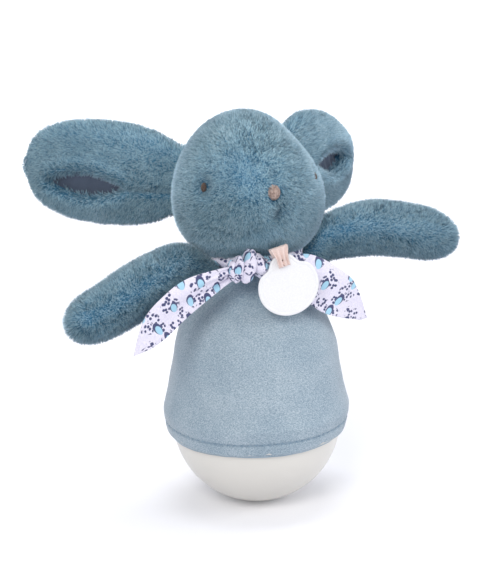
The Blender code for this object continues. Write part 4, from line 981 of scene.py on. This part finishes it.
def bellPoint(angle, radius, z):
    # soft slack all over, puckers near the hem's stitches, and a hem that sits a little askew
    stitch = bell["outline"][0][1] + bell["stitchHeight"]
    near = math.exp(-((z - stitch) / 3.2) ** 2)
    groove = math.exp(-((z - stitch) / 0.75) ** 2)
    way = Vector((math.cos(angle), math.sin(angle), 0))
    wobble = noise.noise(Vector((way.x * 9, way.y * 9, 3.0)))
    pucker = math.sin(angle * bell["puckers"] + 3 * wobble) * (0.6 + 0.4 * wobble)
    slack = noise.noise(Vector((way.x * 2.2, way.y * 2.2, z * 0.045))) * bell["slack"] * 2
    radius += slack - groove * bell["stitchDepth"] + near * pucker * bell["puckerDepth"]
    tilt = bell["hemTilt"] * (way.x * 0.937 - way.y * 0.35) * radius * max(0.0, 1 - (z - 34.8) / 36) ** 1.5
    return way * radius + Vector((0, 0, z + tilt))


def makeBell():
    low = bell["outline"][0][1]
    profile = [(41.9, 46.0), (41.9, low + 1.6), (41.92, low + 0.5), (42.15, low), (42.6, low + 0.05),
               (43.1, low + 0.5)]
    upper = curveThrough([(43.45, 0, low + 1.1)] + [(r, 0, z) for r, z in bell["outline"][1:]], 7)
    profile += [(p.x, p.z) for p in upper] + [(bell["topInner"], 127.0)]
    # the turned-in edge stays round, so that it keeps clear of the ball
    turns = [math.tau * i / bell["around"] for i in range(bell["around"])]
    rows = []
    for r, z in profile:
        point = bellPoint if r > 42 or z > low + 3 else roundPoint
        rows.append([point(turn, r, z) for turn in turns])
    mesh = gridMesh("velour_body", rows, True)
    heights = np.array([z for row, (r, z) in zip(rows, profile) for _ in row])
    stitch = low + bell["stitchHeight"]
    # painted shade in the groove of the hem's stitching and towards the top, under the scarf
    shade = 0.4 * np.exp(-((heights - stitch) / 0.7) ** 2) + 0.4 * smoothstep(92, 124, heights)
    setAttribute(mesh, "shade", shade)
    made = newObject("velour_body", mesh, finish["velour"])
    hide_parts("body_cover", "body_wadding")
    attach(made, "plush")


makeBell()
print("bell done")


scarf = {
    "rightUpper": [(-18.5, -28.2, 127.2), (-41.6, -28.4, 123.6), (-56.4, -29.6, 115.8),
                   (-66.0, -31.4, 106.4), (-71.5, -32.6, 91.0)],
    "rightLower": [(-19.0, -28.8, 121.0), (-37.2, -29.0, 109.6), (-48.2, -29.6, 101.8),
                   (-56.8, -31.0, 96.0), (-63.4, -32.2, 93.0)],
    "leftUpper": [(-6.5, -29.0, 128.0), (17.9, -26.6, 127.4), (37.7, -24.0, 115.0), (44.6, -22.6, 105.6),
                  (50.0, -20.6, 90.6)],
    "leftLower": [(-6.5, -29.4, 122.5), (11.0, -32.2, 109.6), (21.4, -31.0, 100.4), (32.8, -27.2, 94.8),
                  (46.2, -22.0, 90.4)],
    "fold": 1.5, "thickness": 0.45, "knot": (-12.6, -28.2, 125.0), "knotHalf": (10.2, 6.6, 7.6),
    "knotRings": 65, "knotAround": 72, "knotUv": (0.0065, 0.0034),
    "bandInner": 16.3, "bandOuter": 24.3, "bandLow": 121.2, "bandHigh": 128.0,
    "bandRings": 180, "bandAround": 36,
}


def flatUv(mesh, grid):
    # a sheet's own map in real size: 10 mm of cloth is 0.1 of the map
    rows, cols = len(grid), len(grid[0])
    spots = np.array(grid)
    steps = np.linalg.norm(np.diff(spots, axis=1), axis=2)
    across = np.concatenate([np.zeros((rows, 1)), np.cumsum(steps, axis=1)], axis=1)
    across -= across[:, cols // 2][:, None]
    steps = np.linalg.norm(np.diff(spots[:, cols // 2], axis=0), axis=1)
    down = np.concatenate([[0], np.cumsum(steps)])
    layer = mesh.uv_layers.new(name="OFBake")
    for loop in mesh.loops:
        r, c = divmod(loop.vertex_index, cols)
        if r < rows:
            layer.data[loop.index].uv = (0.3 + across[r][c] * 0.01, 0.1 + down[r] * 0.01)
    return down[-1]


def tailRows(upper, lower):
    top, bottom = curveThrough(upper, 14), curveThrough(lower, 14)
    rows = []
    for i, (a, b) in enumerate(zip(top, bottom)):
        along = i / (len(top) - 1)
        row = []
        for share in np.linspace(0, 1, 33):
            fold = scarf["fold"] * math.sin(math.pi * share * 2) * math.sin(math.pi * min(1, along + 0.3))
            gather = 0.9 * math.sin(share * math.pi * 7 + 1.0) * max(0, 1 - along * 3.2)
            crinkle = 0.35 * noise.noise(Vector((along * 7, share * 4, 1.5)))
            row.append(a.lerp(b, float(share)) + Vector((0, -fold - gather - crinkle, 0)))
        rows.append(row)
    return rows


def makeTail(side, upper, lower):
    rows = tailRows(upper, lower)
    mesh = gridMesh(f"scarfTail_{side}", rows)
    length = flatUv(mesh, rows)
    made = newObject(f"scarfTail_{side}", mesh, finish["print"])
    thicken(made, scarf["thickness"])
    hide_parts(f"scarf_tail_{side}")
    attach(made, "plush")


# the knot's folds along its length: middle, half width, size forwards and upwards, rise, and slant
knotFolds = [(-0.86, 0.20, 0.62, 0.66, -0.08, 0.10), (-0.56, 0.24, 0.80, 0.84, -0.02, 0.20),
             (-0.08, 0.38, 1.00, 1.06, 0.08, 0.34), (0.50, 0.40, 0.88, 0.80, 0.00, -0.22),
             (0.92, 0.20, 0.55, 0.52, -0.06, 0.0)]


def makeKnot():
    centre, half = Vector(scarf["knot"]), scarf["knotHalf"]
    rings, around, (uStep, vStep) = scarf["knotRings"], scarf["knotAround"], scarf["knotUv"]
    rows = []
    for i in range(rings):
        t = -1 + 2 * i / (rings - 1)
        row = []
        for j in range(around):
            turn = math.tau * j / around
            forward, upward = math.cos(turn), math.sin(turn)
            best = (0.0, 0.5, 0.5, 0.0)
            for middle, width, sizeOut, sizeUp, rise, slant in knotFolds:
                near = (t - middle - 0.45 * slant * upward) / width
                swell = math.sqrt(max(0.0, 1 - near * near))
                best = max(best, (swell * (sizeOut + sizeUp), swell * sizeOut, swell * sizeUp, rise))
            core = 0.42 * math.sqrt(max(0.0, 1 - t * t))
            pleat = 1 + 0.035 * math.sin(7 * turn + 9 * t) + 0.02 * math.sin(13 * turn - 6 * t)
            out, up = (max(core, best[k]) * pleat for k in (1, 2))
            row.append(centre + Vector((half[0] * t, half[1] * out * forward,
                                        half[2] * (up * upward + best[3]))))
        rows.append(row)
    mesh = gridMesh("scarfKnot", rows, True, True)
    layer = mesh.uv_layers.new(name="OFBake")
    for polygon in mesh.polygons:
        columns = [mesh.loops[k].vertex_index % around for k in polygon.loop_indices]
        wraps = max(columns) - min(columns) > around // 2
        for k in polygon.loop_indices:
            row, column = divmod(mesh.loops[k].vertex_index, around)
            if row >= rings:
                # the poles follow the rows: the first end's, then the last end's
                row, column = (rings - 1) * column, around // 2
            column += around if wraps and column < around // 2 else 0
            layer.data[k].uv = (0.05 + column * uStep, 0.1 + row * vStep)
    made = newObject("scarfKnot", mesh, finish["print"])
    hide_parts("scarf_knot")
    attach(made, "plush")


def makeBand():
    inner, outer, lowEdge, highEdge = (scarf[k] for k in ("bandInner", "bandOuter", "bandLow", "bandHigh"))
    rows = []
    for angle in (math.tau * i / scarf["bandRings"] for i in range(scarf["bandRings"] + 1)):
        row = []
        for turn in (math.tau * j / scarf["bandAround"] for j in range(scarf["bandAround"] + 1)):
            pleat = 0.35 * math.sin(4 * turn + 2 * math.sin(angle * 2))
            r = (inner + outer) / 2 + ((outer - inner) / 2 * 0.9 + pleat) * math.cos(turn)
            high = (highEdge - lowEdge) / 2 * 0.92 + pleat
            z = (lowEdge + highEdge) / 2 + high * math.sin(turn) - 0.28 * (outer - r) * 0.5
            row.append(roundPoint(angle, r, z))
        rows.append(row)
    mesh = gridMesh("scarfBand", rows)
    flatUv(mesh, rows)
    made = newObject("scarfBand", mesh, finish["print"])
    reworked(mesh, lambda bm: bmesh.ops.remove_doubles(bm, verts=bm.verts, dist=1e-6))
    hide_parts("scarf_band")
    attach(made, "plush")


makeKnot()
makeBand()
makeTail("right", scarf["rightUpper"], scarf["rightLower"])
makeTail("left", scarf["leftUpper"], scarf["leftLower"])
print("scarf done")

tag = {
    "top": (0.8, -32.8, 130.9), "lean": 8.0, "turn": 12.0, "disc": (15.2, 13.8), "neck": 6.8,
    "neckDrop": 4.6, "length": 29.4, "thickness": 1.0, "shoulder": 50, "softening": 14,
    # inset from the edge and height over the card's back, from the rim to the embossed line and the face
    "steps": [(0.25, 0.0), (0.0, 0.25), (0.0, 0.75), (0.25, 1.0), (1.5, 1.0), (1.62, 0.88), (1.95, 0.88),
              (2.07, 1.0)],
    # the ribbon is cut 10 wide and gathers in pleats where the eyelet holds it
    "ribbonWidth": 10.0, "ribbonLoose": 8.6, "ribbonHeld": 5.8, "pleats": 3,
    "ribbonDrop": 5.4, "ribbonRise": 2.6,
}


def tagPlace(q, drop, n):
    lean, turn = math.radians(tag["lean"]), math.radians(tag["turn"])
    out = Vector((0, -math.cos(lean), math.sin(lean)))
    down = Vector((0, -math.sin(lean), -math.cos(lean))) * math.cos(turn) + Vector((1, 0, 0)) * math.sin(turn)
    side = out.cross(down)
    return Vector(tag["top"]) + side * q + down * drop + out * n


def tagOutline():
    # half a rounded neck, an inward shoulder, and the disc, mirrored
    wide, high = tag["disc"]
    middle = tag["length"] - high
    start = math.radians(tag["shoulder"])
    neck = [(tag["neck"] * math.sin(a), tag["neckDrop"] * (1 - math.cos(a)))
            for a in np.linspace(0, math.pi / 2, 14)]
    disc = [(wide * math.sin(a), middle - high * math.cos(a)) for a in np.linspace(start, math.pi, 60)]
    first, last = Vector(neck[-1]), Vector(disc[0])
    bend = Vector((first.x + 0.3, last.y))
    shoulder = [tuple(first.lerp(bend, t).lerp(bend.lerp(last, t), t)) for t in np.linspace(0.15, 0.85, 7)]
    right = neck + shoulder + disc
    outline = np.array(right + [(-x, y) for x, y in right[-2:0:-1]])
    for _ in range(tag["softening"]):
        outline = (np.roll(outline, 1, 0) + 2 * outline + np.roll(outline, -1, 0)) / 4
    return [tuple(point) for point in outline]


def makeTag():
    outline = tagOutline()
    count = len(outline)
    inward = []
    for i in range(count):
        along = Vector(outline[(i + 1) % count]) - Vector(outline[i - 1])
        inward.append(Vector((-along.y, along.x)).normalized())
    rows = [[tagPlace(x + v.x * inset, y + v.y * inset, n) for (x, y), v in zip(outline, inward)]
            for inset, n in tag["steps"]]

    def closeBothSides(bm):
        bm.verts.ensure_lookup_table()
        bm.faces.new(bm.verts[:count])
        bm.faces.new(bm.verts[-count:])
        faceOut(bm)

    mesh = reworked(gridMesh("blankCardTag", rows, True), closeBothSides)
    made = newObject("blankCardTag", mesh, finish["card"], False)
    for polygon in mesh.polygons:
        polygon.use_smooth = len(polygon.vertices) == 4
    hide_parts("name_tag")
    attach(made, "tag")

    front, back, drop, rise = tag["thickness"] + 0.45, -0.45, tag["ribbonDrop"], tag["ribbonRise"]
    middle, half = (front + back) / 2, (front - back) / 2
    strip = [(drop + 0.4 - i * 0.5, front + 0.12 * math.sin(i * 0.9)) for i in range(12)]
    strip += [(-rise - 1.0 * math.sin(a), middle + half * math.cos(a)) for a in np.linspace(0.0, math.pi, 13)]
    strip += [(-rise + 1.2 + i * 0.8, back) for i in range(8)]
    rows = []
    for d, n in strip:
        width = tag["ribbonLoose"] + (tag["ribbonHeld"] - tag["ribbonLoose"]) * smoothstep(-3.5, 2.5, d)
        depth = math.sqrt(tag["ribbonWidth"] ** 2 - width ** 2) / (math.tau * tag["pleats"] * 0.74)
        outward = 1 if n > tag["thickness"] / 2 else -1
        rows.append([tagPlace(width * u, d,
                              n + outward * depth * (1 - math.cos(math.tau * tag["pleats"] * u)))
                     for u in np.linspace(-0.5, 0.5, 49)])
    mesh = gridMesh("ribbonLoop", rows)
    length = flatUv(mesh, rows)
    ribbon = newObject("ribbonLoop", mesh, finish["ribbon"])
    thicken(ribbon, 0.35)
    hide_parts("tag_ribbon")
    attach(ribbon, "tag")

    grid = [[tagPlace(r * math.cos(a), 4.0 + r * math.sin(a), front + n)
             for a in np.linspace(0, math.tau, 33)[:-1]]
            for r, n in ((0.9, -1.9), (1.5, 0.15), (1.55, 0.35), (1.4, 0.5), (1.1, 0.52), (0.85, 0.4),
                         (0.7, 0.1), (0.3, 0.05))]
    eyelet = newObject("brassEyelet", gridMesh("brassEyelet", grid, True, True), finish["brass"])
    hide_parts("tag_rivet")
    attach(eyelet, "tag")


makeTag()
print("tag done")

hem = {"stitches": 84, "stitchLength": 2.1, "stitchRadius": 45.0, "threadRadius": 0.24, "liningOut": 41.9,
       "liningLow": 34.8, "liningTop": 45.8}


def makeHemDetails():
    low = bell["outline"][0][1]
    paths = []
    for i in range(hem["stitches"]):
        middle = math.tau * i / hem["stitches"]
        half = hem["stitchLength"] / 2 / hem["stitchRadius"]
        path = []
        for share in np.linspace(-1, 1, 7):
            point = bellPoint(middle + half * share, 44.4,
                              low + bell["stitchHeight"] + 0.12 * math.sin(i * 2.3))
            outward = Vector((point.x, point.y, 0)).normalized()
            path.append(point + outward * (0.42 * (1 - share * share) - 0.12))
        paths.append(path)
    thread = newObject("hemStitches", threadMesh("hemStitches", paths, hem["threadRadius"]), finish["seam"])
    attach(thread, "plush")

    rows = []
    for share in np.linspace(0, 1, 20):
        row = []
        for angle in (math.tau * i / bell["around"] for i in range(bell["around"] + 1)):
            # the lower edge ripples and follows the hem's tilt
            ripple = 0.07 * math.sin(angle * 23 + math.sin(angle * 5)) + 0.12 * math.sin(angle * 5)
            edge = hem["liningLow"] + ripple
            tilt = bellPoint(angle, hem["liningOut"] - 0.28, low).z - low
            r = hem["liningOut"] - 0.25 + 0.12 * math.sin(angle * 23) * (1 - share)
            row.append(roundPoint(angle, r, edge + (hem["liningTop"] - edge) * share + tilt * (1 - share)))
        rows.append(row)
    mesh = gridMesh("hemLining", rows)
    flatUv(mesh, rows)
    lining = newObject("hemLining", mesh, finish["hem"])
    thicken(lining, 0.4)
    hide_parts("hem_lining")
    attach(lining, "plush")


makeHemDetails()
print("hem done")

# carried-over nodes get their real finishes
dressed = {
    "ivory": ["battery_tube", "battery_door", "button_housing", "lamp_deck"],
    "button": ["power_button"],
    "iron": ["counterweight"],
    "steel": ["weight_washer", "weight_screw", "battery_contact", "button_cell_1", "button_cell_2",
              "button_cell_3", "battery_spring", "door_screw", "deck_screw_1", "deck_screw_2", "deck_screw_3",
              "board_screw_1", "board_screw_2"],
    "board": ["circuit_board"],
    "black": ["press_switch", "control_chip"],
    "lens": ["warm_lamp_1", "warm_lamp_2", "warm_lamp_3"],
    "wire": ["battery_lead", "switch_lead"],
    "elastic": ["hem_elastic"],
}
for name, nodes in dressed.items():
    for node in nodes:
        for materialSlot in bpy.data.objects[node].material_slots:
            materialSlot.material = finish[name]
print("carried-over nodes dressed")
